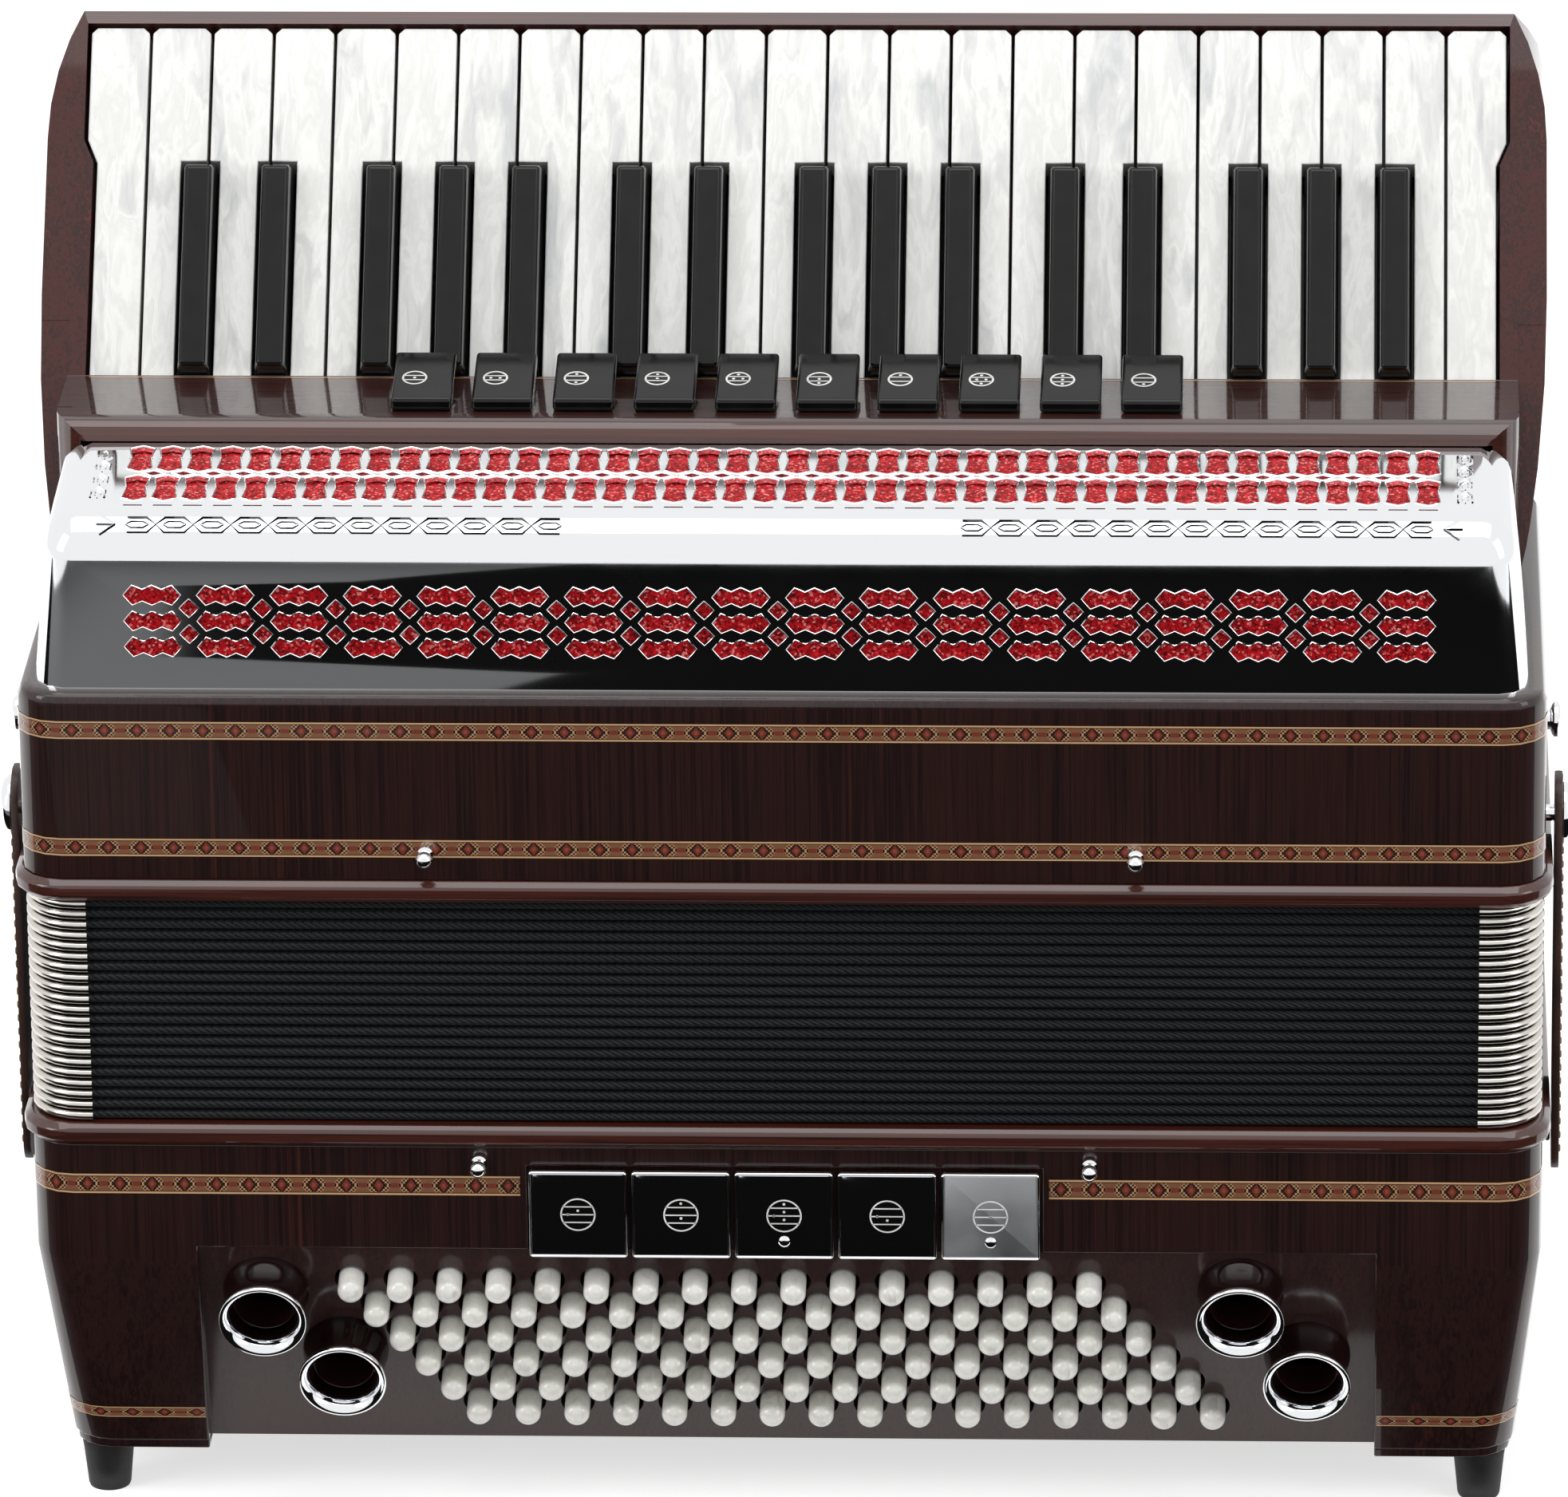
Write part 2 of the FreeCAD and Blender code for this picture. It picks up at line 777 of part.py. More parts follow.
def make_keyboard_body():
    """The lacquered wooden body behind the keys, with its cheeks, tip rail and switch shelf."""
    rim_start = shelf_depth - rim_stand / math.cos(key_lean)
    tip_front = key_point(0, tip_along, rim_stand)
    tip_back = key_point(0, tip_along, -rail_drop)
    turns = [math.pi / 2.0 * number / corner_flats for number in range(corner_flats + 1)]
    profile = [(shelf_front, treble_high)]
    for turn in turns:
        depth = shelf_front + shelf_roll * (1.0 - math.cos(turn))
        profile.append((depth, shelf_high - shelf_roll * (1.0 - math.sin(turn))))
    profile += [(rim_start, shelf_high), spot(tip_front), spot(tip_back)]
    profile += [(body_back, tip_back.z), (back_depth(treble_high), treble_high)]
    envelope = side_prism(profile, -body_width, body_width)
    envelope = envelope.common(keyboard_outline(treble_high, tip_front.z + seat_gap))

    shelf_low = shelf_high - shelf_thickness
    bevel_top = shelf_depth - shelf_key_gap / math.cos(key_lean)
    bevel_low = bevel_top - shelf_thickness * math.tan(key_lean)
    floor_start = spot(key_point(0, -key_tail - 2.0 * slide_gap, -well_floor))
    well = [(bevel_low, shelf_low), (bevel_top, shelf_high), spot(key_point(0, 0, well_floor))]
    well += [spot(key_point(0, white_length + tip_gap, well_floor))]
    well += [spot(key_point(0, white_length + tip_gap, -well_floor)), floor_start]
    well_cut = side_prism(well, -well_half, well_half)
    pit = [(shelf_front - overrun, treble_high - overrun), (shelf_front - overrun, shelf_low)]
    pit += [(floor_start[0], shelf_low), (floor_start[0], treble_high - overrun)]
    pit_cut = side_prism(pit, -lever_well_half, lever_well_half)

    inner_front = floor_start[0] + back_wall
    high_front = spot(key_point(0, hollow_reach, -well_floor - back_wall))
    low_front = spot(key_point(0, -key_tail, -well_floor - back_wall))
    hollow = [(inner_front, treble_high - overrun), low_front, high_front]
    hollow += [(back_depth(high_front[1]) - back_wall, high_front[1])]
    hollow += [(back_depth(treble_high) - back_wall, treble_high - overrun)]
    hollow_cut = side_prism(hollow, hollow_side - well_half, well_half - hollow_side)
    body = without(envelope, [well_cut, pit_cut, hollow_cut])
    pads = []
    for side in (-1, 1):
        inner = side * (well_half - cheek_step)
        outer = side * (well_half + overrun)
        edge = side * well_half
        plan = [(outer, -key_tail), (inner, -key_tail), (inner, cheek_step_from), (edge, cheek_step_to)]
        plan.append((outer, cheek_step_to))
        pads.append(key_prism(plan, -well_floor, rim_stand))
    body = joined([body] + pads)
    reach = well_half + casing_wall / 2.0
    bore = axle_radius + axle_clearance / 2.0
    start = key_point(-reach, -pivot_back, -pivot_drop)
    slots = [turned([(bore, 0), (bore, 2.0 * reach)], start, V(1, 0, 0), fitting_sides)]
    leg_half = switch_leg_width / 2.0 + slide_gap
    slot_front = switch_front + switch_leg - slide_gap - seat_gap
    slot_back = switch_front + 2.0 * switch_leg + 2.0 * slide_gap
    slot_high = shelf_high + overrun
    for x in switch_centres():
        slots.append(box(x - leg_half, x + leg_half, slot_front, slot_back, shelf_low - overrun, slot_high))
    return without(body, slots)


def switch_centres():
    """The middle of every register switch."""
    return [(number - (switch_count - 1) / 2.0) * switch_pitch for number in range(switch_count)]


def register_switch(x):
    """A wedge-shaped black tab on a leg that goes down through the shelf."""
    low = shelf_high + seat_gap
    back = switch_front + switch_length
    leg_front = switch_front + switch_leg
    spots = [(switch_front, low), (switch_front + seat_gap, shelf_high + switch_front_height)]
    spots += [(back, shelf_high + switch_back_height), (back, shelf_high + switch_back_height - switch_body)]
    spots += [(leg_front + switch_leg, low)]
    half = switch_width / 2.0
    leg_half = switch_leg_width / 2.0
    tab = side_prism(spots, x - half, x + half)
    leg_low = shelf_high - switch_leg_drop
    leg = box(x - leg_half, x + leg_half, leg_front, leg_front + switch_leg, leg_low, low + seat_gap)
    return joined([tab, leg])


def grille_half(z, inset):
    """Half the grille's width at a height: its ends draw in towards the top."""
    share = (z - treble_high) / shelf_rise
    return half_width - grille_side_set - inset - grille_side_draw * share


def grille_bend_spots(inset):
    """The flats of the bend from the front face to the upper face, as depths and heights."""
    lean = math.atan2(grille_face_lean, grille_face_rise)
    last = math.pi / 2.0 - grille_top_slope
    centre_depth = grille_front_set + grille_face_lean + grille_bend * math.cos(lean)
    centre_z = treble_high + grille_face_rise - grille_bend * math.sin(lean)
    radius = grille_bend - inset
    turns = [lean + (last - lean) * number / bend_flats for number in range(bend_flats + 1)]
    return [(centre_depth - radius * math.cos(turn), centre_z + radius * math.sin(turn)) for turn in turns]


def grille_solid(inset, below, behind):
    """The grille's outer form, drawn in by an inset and run on below and behind."""
    z_low = treble_high - below
    back = shelf_front + behind
    corner = grille_corner - inset
    turns = [math.pi / 2.0 * number / grille_end_flats for number in range(grille_end_flats + 1)]
    stations = [(-1, turn) for turn in reversed(turns)] + [(1, turn) for turn in turns]
    rings = []
    for side, turn in stations:
        bend = grille_bend_spots(inset + corner * (1.0 - math.cos(turn)))
        (depth, z), (last_depth, last_z) = bend[0], bend[-1]
        spots = [(depth - (z - z_low) * grille_face_lean / grille_face_rise, z_low)] + bend
        spots += [(back, last_z + (back - last_depth) * math.tan(grille_top_slope)), (back, z_low)]
        from_end = inset + corner * (1.0 - math.sin(turn))
        rings.append([at(side * (grille_half(z, from_end)), depth, z) for depth, z in spots])
    return flat_loft(rings)


def lozenge(x, z):
    """A pointed slot with three lobes."""
    shares = [(-1.0, 0.0), (-0.7, 1.0), (-0.34, 0.55), (0.0, 1.0), (0.34, 0.55), (0.7, 1.0), (1.0, 0.0)]
    shares += [(-across, -up) for across, up in shares[1:-1]]
    return [at(x + lozenge_half * across, -overrun, z + lozenge_height * up) for across, up in shares]


def diamond(x, z):
    """A small four-sided opening."""
    shares = [(-1.0, 0.0), (0.0, 1.0), (1.0, 0.0), (0.0, -1.0)]
    return [at(x + diamond_half * across, -overrun, z + diamond_half * up) for across, up in shares]


def barrel(x, depth, reach):
    """An opening with drawn-in sides on the grille's upper face."""
    shares = [(-1.0, -1.0), (1.0, -1.0), (barrel_waist_share, 0.0)]
    shares += [(-across, -along) for across, along in shares]
    low = treble_high + grille_face_rise
    return [at(x + barrel_half * across, depth + reach * along, low) for across, along in shares]


def make_grille():
    """The pierced chrome grille: one bent sheet with rounded ends."""
    sheet = grille_solid(0, 0, 0).cut(grille_solid(grille_metal, overrun, overrun))
    through = V(0, 2.0 * overrun + grille_bend, 0)
    cutters = []
    middle = treble_high + grille_face_rise * lozenge_middle_share
    column_pitch = 2.0 * (grille_pattern_half - lozenge_half) / (lozenge_columns - 1)
    for column in range(lozenge_columns):
        x = (column - (lozenge_columns - 1) / 2.0) * column_pitch
        for row in range(lozenge_rows):
            z = middle + (row - (lozenge_rows - 1) / 2.0) * lozenge_row_pitch
            cutters.append(prism(lozenge(x, z), through))
        if column < lozenge_columns - 1:
            between = lozenge_rows - 1
            for row in range(between):
                z = middle + (row - (between - 1) / 2.0) * lozenge_row_pitch
                cutters.append(prism(diamond(x + column_pitch / 2.0, z), through))
    upward = V(0, 0, grille_bend + overrun + shelf_rise)
    first = grille_bend_spots(0)[-1][0] + barrel_front
    run = shelf_front - barrel_back - first - (barrel_rows - 1) * barrel_gap
    reach = run / barrel_rows / 2.0
    barrel_pitch = 2.0 * (grille_pattern_half - barrel_border) / (barrel_count - 1)
    for number in range(barrel_count):
        x = (number - (barrel_count - 1) / 2.0) * barrel_pitch
        for row in range(barrel_rows):
            depth = first + reach + row * (2.0 * reach + barrel_gap)
            cutters.append(prism(barrel(x, depth, reach), upward))
    return without(sheet, cutters)


def make_grille_cloth():
    """The red cloth that lines the grille behind its openings."""
    inset = grille_metal
    outer = grille_solid(inset, 0, 0)
    inner = grille_solid(inset + grille_cloth_thickness, overrun, overrun)
    side = grille_pattern_half + casing_wall
    keep = box(-side, side, 0, shelf_front - seat_gap, treble_high + casing_wall, shelf_high + overrun)
    return outer.cut(inner).common(keep)


def ball_pin(x, z, face_depth, side):
    """A bellows pin: a ball on a short shaft."""
    low = pin_stand - pin_radius
    profile = [(pin_shaft, 0), (pin_shaft, low), (pin_radius, pin_stand - pin_shaft)]
    profile += [(pin_radius, pin_stand + pin_shaft), (pin_shaft, pin_stand + pin_radius)]
    return turned(profile, at(x, face_depth, z), V(0, side, 0), fitting_sides)


def make_treble_fittings():
    """Chrome pins, strap studs and knobs of the treble end."""
    solids = []
    z = treble_low + treble_pin_rise
    for x in (-treble_pin_x, treble_pin_x):
        solids.append(ball_pin(x, z, 0, -1))
        solids.append(ball_pin(x, z, body_depth, 1))
    cap_low = frame_reach + slide_gap + strap_thickness
    stud = [(stud_post, 0), (stud_post, cap_low), (stud_cap, cap_low)]
    stud += [(stud_cap, cap_low + stud_cap_thickness / 3.0), (stud_cap / 2.0, cap_low + stud_cap_thickness)]
    knob = [(knob_neck, 0), (knob_neck, knob_reach / 3.0), (knob_radius, knob_reach / 2.0)]
    knob += [(knob_radius, knob_reach - seat_gap), (knob_neck, knob_reach)]
    for side in (-1, 1):
        outward = V(side, 0, 0)
        stud_base = at(side * half_width, stud_depth, treble_low + stud_rise)
        solids.append(turned(stud, stud_base, outward, port_sides))
        knob_base = at(side * half_width, stud_depth, treble_high - knob_drop)
        solids.append(turned(knob, knob_base, outward, fitting_sides))
    return Part.makeCompound(solids)


def make_bass_fittings():
    """Chrome pins, strap catches and hand strap plates of the bass end."""
    solids = []
    z = bass_high - bass_pin_drop
    for x in (-bass_pin_x, bass_pin_x):
        solids.append(ball_pin(x, z, 0, -1))
        solids.append(ball_pin(x, z, body_depth, 1))
    reach = frame_reach + slide_gap - seat_gap
    catch = [(catch_radius, 0), (catch_radius, reach)]
    depth_low = body_depth - hand_strap_back_set - hand_strap_width / 2.0
    for side in (-1, 1):
        catch_base = at(side * half_width, stud_depth, bass_high - catch_drop)
        solids.append(turned(catch, catch_base, V(side, 0, 0), fitting_sides))
        lip_high = end_plate_low - 2.0 * seat_gap - hand_strap_thickness - seat_gap
        lip_low = lip_high - strap_plate_thickness
        inner = hand_strap_reach - strap_plate_width / 2.0
        outer = hand_strap_reach + seat_gap + strap_plate_thickness
        lip = sorted((side * inner, side * outer))
        post = sorted((side * (hand_strap_reach + seat_gap), side * outer))
        flat = box(lip[0], lip[1], depth_low, depth_low + hand_strap_width, lip_low, lip_high)
        wall = box(post[0], post[1], depth_low, depth_low + hand_strap_width, lip_low, end_plate_low)
        solids.append(joined([flat, wall]))
    return Part.makeCompound(solids)


def make_bellows_straps():
    """Two leather straps from the treble studs to the bass catches."""
    low = bass_high - catch_drop - strap_lap
    high = treble_low + stud_rise + strap_lap
    inner = half_width + frame_reach + slide_gap
    solids = []
    for side in (-1, 1):
        x_low, x_high = sorted((side * inner, side * (inner + strap_thickness)))
        half = strap_width / 2.0
        band = box(x_low, x_high, stud_depth - half, stud_depth + half, low, high)
        corners = [edge for edge in band.Edges if edge.BoundBox.XLength > strap_thickness / 2.0]
        band = band.makeChamfer(strap_width / 4.0, corners)
        bore = stud_post + axle_clearance
        start = at(x_low - overrun, stud_depth, treble_low + stud_rise)
        hole = turned([(bore, 0), (bore, strap_thickness + 2.0 * overrun)], start, V(1, 0, 0), fitting_sides)
        solids.append(band.cut(hole))
    return Part.makeCompound(solids)


def save(name, shape):
    """Write one named piece and print what it holds."""
    shape.exportStep("parts/" + name + ".step")
    bounds = shape.BoundBox
    print(name, "solids", len(shape.Solids), "faces", len(shape.Faces), "valid", shape.isValid(),
          "cm3", round(shape.Volume / 1000.0, 2), "z", round(bounds.ZMin, 1), round(bounds.ZMax, 1))


os.makedirs("parts", exist_ok=True)
save("bass_box", make_bass_box())
save("bass_end_plate", make_end_plate())
save("bass_button_panel", make_button_panel())
save("bass_buttons", make_buttons())
save("bass_registers", make_registers())
save("bass_sound_ports", make_ports())
save("bass_feet", make_feet())
save("bass_strap", make_hand_strap())
save("bass_fittings", make_bass_fittings())
save("bass_bellows_frame", ring_frame(bass_high))
save("bellows_folds", make_folds())
save("bellows_corners", make_bellows_corners())
save("treble_bellows_frame", ring_frame(bellows_high))
save("treble_box", make_treble_box())
save("treble_reed_blocks", make_reed_blocks())
save("treble_fittings", make_treble_fittings())
save("bellows_straps", make_bellows_straps())
save("keyboard_body", make_keyboard_body())
save("key_axle", make_axle())
save("grille", make_grille())
save("grille_cloth", make_grille_cloth())
for key_number in range(white_count):
    save("white_key_" + str(key_number + 1).zfill(2), white_key(key_number))
for group_number, group in enumerate(black_groups()):
    save("black_keys_" + str(group_number + 1), Part.makeCompound([black_key(x) for x in group]))
for switch_number, switch_x in enumerate(switch_centres()):
    save("register_switch_" + str(switch_number + 1).zfill(2), register_switch(switch_x))
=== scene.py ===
# %% [markdown]
# # A piano accordion, dressed for its portrait
# The instrument stands on the four rubber feet of its bass end, with the keyboard leaning back on top.
# The CAD model gives every piece its place. This script loads it as a fixed frame, gives each surface its
# finish, and builds the pieces whose look needs more than the CAD solids hold: pleats, pearl, inlay, chrome.

# %% Load the frame
import json
import math
import bpy
import bmesh
from mathutils import Matrix, Vector
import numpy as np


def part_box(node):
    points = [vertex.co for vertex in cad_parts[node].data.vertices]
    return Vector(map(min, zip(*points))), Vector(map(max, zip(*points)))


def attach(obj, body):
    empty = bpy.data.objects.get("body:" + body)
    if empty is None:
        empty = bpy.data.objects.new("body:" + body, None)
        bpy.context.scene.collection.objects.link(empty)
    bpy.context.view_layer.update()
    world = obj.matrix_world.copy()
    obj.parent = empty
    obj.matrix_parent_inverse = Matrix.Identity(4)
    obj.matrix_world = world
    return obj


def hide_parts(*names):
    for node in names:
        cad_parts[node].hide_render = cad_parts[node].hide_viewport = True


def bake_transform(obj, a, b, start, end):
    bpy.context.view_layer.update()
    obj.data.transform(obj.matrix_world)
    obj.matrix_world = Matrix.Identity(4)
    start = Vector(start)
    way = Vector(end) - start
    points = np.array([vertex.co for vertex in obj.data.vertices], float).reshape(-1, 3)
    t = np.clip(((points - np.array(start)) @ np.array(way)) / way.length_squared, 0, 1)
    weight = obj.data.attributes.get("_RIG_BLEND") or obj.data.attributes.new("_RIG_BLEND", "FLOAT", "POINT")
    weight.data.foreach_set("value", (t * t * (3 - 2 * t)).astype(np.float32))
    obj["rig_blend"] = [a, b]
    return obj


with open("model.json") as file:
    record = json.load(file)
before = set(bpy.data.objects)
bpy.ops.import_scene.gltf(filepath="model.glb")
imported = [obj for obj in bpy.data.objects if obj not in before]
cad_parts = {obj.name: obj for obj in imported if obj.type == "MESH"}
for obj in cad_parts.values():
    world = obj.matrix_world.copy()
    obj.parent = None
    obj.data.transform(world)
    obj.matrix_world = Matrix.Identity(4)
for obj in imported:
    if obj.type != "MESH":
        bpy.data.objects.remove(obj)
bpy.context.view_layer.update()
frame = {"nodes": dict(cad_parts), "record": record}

MM = 0.001
nodes = frame["nodes"]

# %% [markdown]
# ## Where things are
# The frame is in metres, and the CAD boxes say where each node begins and ends. The lines that everything
# hangs on are read from those boxes where they can be, so the two models don't drift apart. From here on,
# places are in millimetres across, behind the casing's front and above the floor, as a maker measures them.

# %% Main lines of the instrument
treble_low_corner, treble_high_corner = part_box("treble_box")
folds_low_corner, folds_high_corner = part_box("bellows_folds")
front_y = treble_low_corner.y
casing_half = round(treble_high_corner.x / MM, 3)
casing_depth = round((treble_high_corner.y - front_y) / MM, 3)
treble_top = treble_high_corner.z / MM
bellows_low, bellows_high = folds_low_corner.z / MM, folds_high_corner.z / MM
shelf_z = treble_top + 64.5
key_start, key_lean = 104.0, math.radians(38.0)
bass_low, bass_bend = 19.0, 88.0
panel_rise, panel_draw, panel_set = 71.7, 21.2, 1.0
panel_top = bass_low + panel_rise
panel_lean = math.atan2(panel_draw, panel_rise)


def at(x, depth, z):
    """A point in metres from millimetres across, behind the casing's front and above the floor."""
    return Vector((x * MM, front_y + depth * MM, z * MM))


def key_point(x, along, height):
    """A point of the leaning key plane, from distances along and above it."""
    depth = key_start + along * math.sin(key_lean) - height * math.cos(key_lean)
    return at(x, depth, shelf_z + along * math.cos(key_lean) + height * math.sin(key_lean))


def panel_point(x, down, out):
    """A point of the sloped button panel, from distances down its slope and out of its face."""
    depth = panel_set + down * math.sin(panel_lean) - out * math.cos(panel_lean)
    return at(x, depth, panel_top - down * math.cos(panel_lean) - out * math.sin(panel_lean))


print("half width", casing_half, "depth", casing_depth, "treble top", round(treble_top, 2))

# %% [markdown]
# ## Small tools for making meshes
# Most pieces here are turned on a lathe, wrapped round the casing, or laid as a thin bead on a surface. All
# of these are rows of points with a skin over them, so one helper makes the faces and the others only place
# points. Blender's own modifiers could do the same by hand, but points in code repeat the same way each run.

# %% Skins over rows of points
def skin(rows, closed=False, caps=False, looped=False):
    """Points and faces over rows of points. Closed rows meet themselves, and a looped skin meets itself."""
    count = len(rows[0])
    faces = []
    for row in range(len(rows) if looped else len(rows) - 1):
        low, high = row * count, (row + 1) % len(rows) * count
        for step in range(count if closed else count - 1):
            after = (step + 1) % count
            faces.append((low + step, low + after, high + after, high + step))
    if caps:
        last = (len(rows) - 1) * count
        faces += [tuple(reversed(range(count))), tuple(range(last, last + count))]
    return [point for row in rows for point in row], faces


def circle(u, v, radius, count=24):
    """A round outline."""
    angles = [2.0 * math.pi * i / count for i in range(count)]
    return [(u + radius * math.cos(a), v + radius * math.sin(a)) for a in angles]


def turned(profile, base, axis, segments, hollow=False):
    """A profile of radii and distances turned round an axis that starts at base."""
    turn = axis.to_track_quat("Z", "Y").to_matrix()
    rows = [[base + turn @ (Vector((x, y, distance)) * MM) for x, y in circle(0.0, 0.0, radius, segments)]
            for radius, distance in profile]
    return skin(rows, closed=True, caps=not hollow, looped=hollow)


def bead(path, surface, section, closed=False):
    """A thin ridge along a flat path. Its section lists places beside the path and heights over it."""
    count = len(path)
    rows = []
    for aside, height in section:
        row = []
        for i in range(count + 1 if closed else count):
            u, v = path[i % count]
            before = path[(i - 1) % count] if closed else path[max(i - 1, 0)]
            after = path[(i + 1) % count] if closed else path[min(i + 1, count - 1)]
            du, dv = after[0] - before[0], after[1] - before[1]
            length = math.hypot(du, dv) or 1.0
            row.append(surface(u + dv / length * aside, v - du / length * aside, height))
        rows.append(row)
    return skin(rows)


print("skins ready")


# %% Pieces from skins
def put_in_scene(name, data):
    """A new object in the scene."""
    thing = bpy.data.objects.new(name, data)
    bpy.context.scene.collection.objects.link(thing)
    return thing


def mesh_of(name, chunks):
    """One mesh from several lists of points and faces."""
    points, faces = [], []
    for chunk_points, chunk_faces in chunks:
        start = len(points)
        points += [tuple(point) for point in chunk_points]
        faces += [tuple(i + start for i in face) for face in chunk_faces]
    mesh = bpy.data.meshes.new(name)
    mesh.from_pydata(points, [], faces)
    return mesh


def shade(mesh, sharp_degrees):
    """Smooth light over a mesh, except across its sharp edges."""
    mesh.shade_smooth()
    mesh.set_sharp_from_angle(angle=math.radians(sharp_degrees))


def belongs(piece, body, slot, stands_for=None):
    """Hangs a piece on the empty of its body and hides the CAD node it stands for; the slot is not used."""
    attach(piece, body)
    if stands_for:
        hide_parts(stands_for)
    return piece


def make_piece(name, chunks, finish, sharp_degrees=35.0, uv=None):
    """One object from lists of points and faces, with its finish."""
    mesh = mesh_of(name, chunks)
    if uv is not None:
        layer = mesh.uv_layers.new(name="wrap")
        for loop in mesh.loops:
            layer.data[loop.index].uv = uv[loop.vertex_index]
    mesh.update()
    piece = put_in_scene(name, mesh)
    mesh.materials.append(finish)
    shade(mesh, sharp_degrees)
    return piece


print("piece helpers ready")

# %% [markdown]
# ## Keep the CAD shape, ease its edges
# A real lacquered box has no knife edges: each one catches a thin line of light. The CAD solids are kept as
# they are, so a copy of the mesh gets a small bevel and stands in for its node. The bevel only cuts material
# away, so the sizes stay. A bevel in the shader would be quicker, but it is lost when the model is exported.

# %% Changes to a mesh
least_edge, least_wide_edge = math.radians(32.0), math.radians(40.0)


def reshape(mesh, change):
    """Runs a change on a mesh in Blender's editing form."""
    shape = bmesh.new()
    shape.from_mesh(mesh)
    change(shape)
    shape.to_mesh(mesh)
    shape.free()


def face_outward(shape):
    """Turns every face of a closed shape outward."""
    bmesh.ops.recalc_face_normals(shape, faces=shape.faces)


def mark_outer_edges(shape):
    """Marks the edges that stick out, so that only these are rounded and no inner corner fills up."""
    floats = shape.edges.layers.float
    layer = floats.get("bevel_weight_edge") or floats.new("bevel_weight_edge")
    for edge in shape.edges:
        sticks_out = len(edge.link_faces) == 2 and edge.calc_face_angle_signed(0.0) > least_edge
        edge[layer] = 1.0 if sticks_out else 0.0


def round_edges(shape, wanted, width, steps):
    """Rounds the sharp edges that pass a test."""
    sharp = [e for e in shape.edges if len(e.link_faces) == 2 and e.calc_face_angle(0.0) > least_wide_edge]
    chosen = [e for e in sharp if wanted(e)]
    bmesh.ops.bevel(shape, geom=chosen, offset=width * MM, segments=steps, profile=0.5, affect="EDGES",
                    clamp_overlap=True)
    print("wide edges:", len(chosen))


def cutter(name, outline, low, high, upright=True):
    """A prism to cut with: an outline across and in depth raised in z, or one in depth and z drawn across."""
    rows = [[at(u, v, end) if upright else at(end, u, v) for u, v in outline] for end in (low, high)]
    mesh = mesh_of(name, [skin(rows, closed=True, caps=True)])
    reshape(mesh, face_outward)
    return put_in_scene(name, mesh)


def bake(piece):
    """Works the modifiers of a piece into its mesh."""
    mesh = bpy.data.meshes.new_from_object(piece.evaluated_get(bpy.context.evaluated_depsgraph_get()))
    piece.modifiers.clear()
    piece.data = mesh
    return mesh


print("mesh changes ready")

# %% Copies with eased edges
body_of_node = {n: b for b, members in frame["record"]["behaviour"]["bodies"].items() for n in members}
slot_of_node = {s["node"]: s["material_slot"] for s in frame["record"]["subparts"]}
cad_shading = ("custom_normal", "sharp_edge", "sharp_face")


def eased_copy(node, finish, width, steps=2, merge=lambda face: True, tools=(), wide=None):
    """A copy of a CAD node with small rounded edges, which then stands for the node."""
    def join_flats(shape):
        """Joins the CAD's triangles into whole flat faces."""
        bmesh.ops.remove_doubles(shape, verts=shape.verts, dist=2e-6)
        flat_edges = [e for e in shape.edges if all(merge(face) for face in e.link_faces)]
        bmesh.ops.dissolve_limit(shape, angle_limit=math.radians(0.6), verts=[], edges=flat_edges)

    mesh = nodes[node].data.copy()
    reshape(mesh, join_flats)
    for name in [a.name for a in mesh.attributes if a.name in cad_shading]:
        mesh.attributes.remove(mesh.attributes[name])
    piece = put_in_scene(node + "_finish", mesh)
    for tool in tools:
        cut = piece.modifiers.new("cut", "BOOLEAN")
        cut.object, cut.operation, cut.solver = tool, "DIFFERENCE", "EXACT"
    if tools:
        mesh = bake(piece)
        for tool in tools:
            bpy.data.objects.remove(tool)
    if wide:
        reshape(mesh, lambda shape: round_edges(shape, *wide))
    mesh.materials.clear()
    mesh.materials.append(finish)
    mesh.shade_smooth()
    if width > 0:
        reshape(mesh, mark_outer_edges)
        bevel = piece.modifiers.new("ease", "BEVEL")
        bevel.width, bevel.segments, bevel.limit_method = width * MM, steps, "WEIGHT"
        normals = piece.modifiers.new("even", "WEIGHTED_NORMAL")
        normals.keep_sharp, normals.weight = False, 100
    else:
        mesh.set_sharp_from_angle(angle=math.radians(30.0))
    bake(piece)
    return belongs(piece, body_of_node[node], slot_of_node[node], node)


print("nodes with a slot:", len(slot_of_node))

# %% [markdown]
# ## Finishes
# Each finish is a small graph of nodes on a Principled shader. The helpers below add a node, place the
# texture in the object's own space and blend colours, so a finish reads as a recipe. Image textures would
# carry more detail, but procedural ones stay sharp at any distance and need no files.

# %% Helpers for finishes
def linear(red, green, blue):
    """A colour given in screen values from 0 to 255, as the shader wants it."""
    shares = [value / 255.0 for value in (red, green, blue)]
    return tuple(s / 12.92 if s <= 0.04045 else ((s + 0.055) / 1.055) ** 2.4 for s in shares) + (1.0,)


def grey(level):
    """A grey as the shader wants it."""
    return (level, level, level, 1.0)


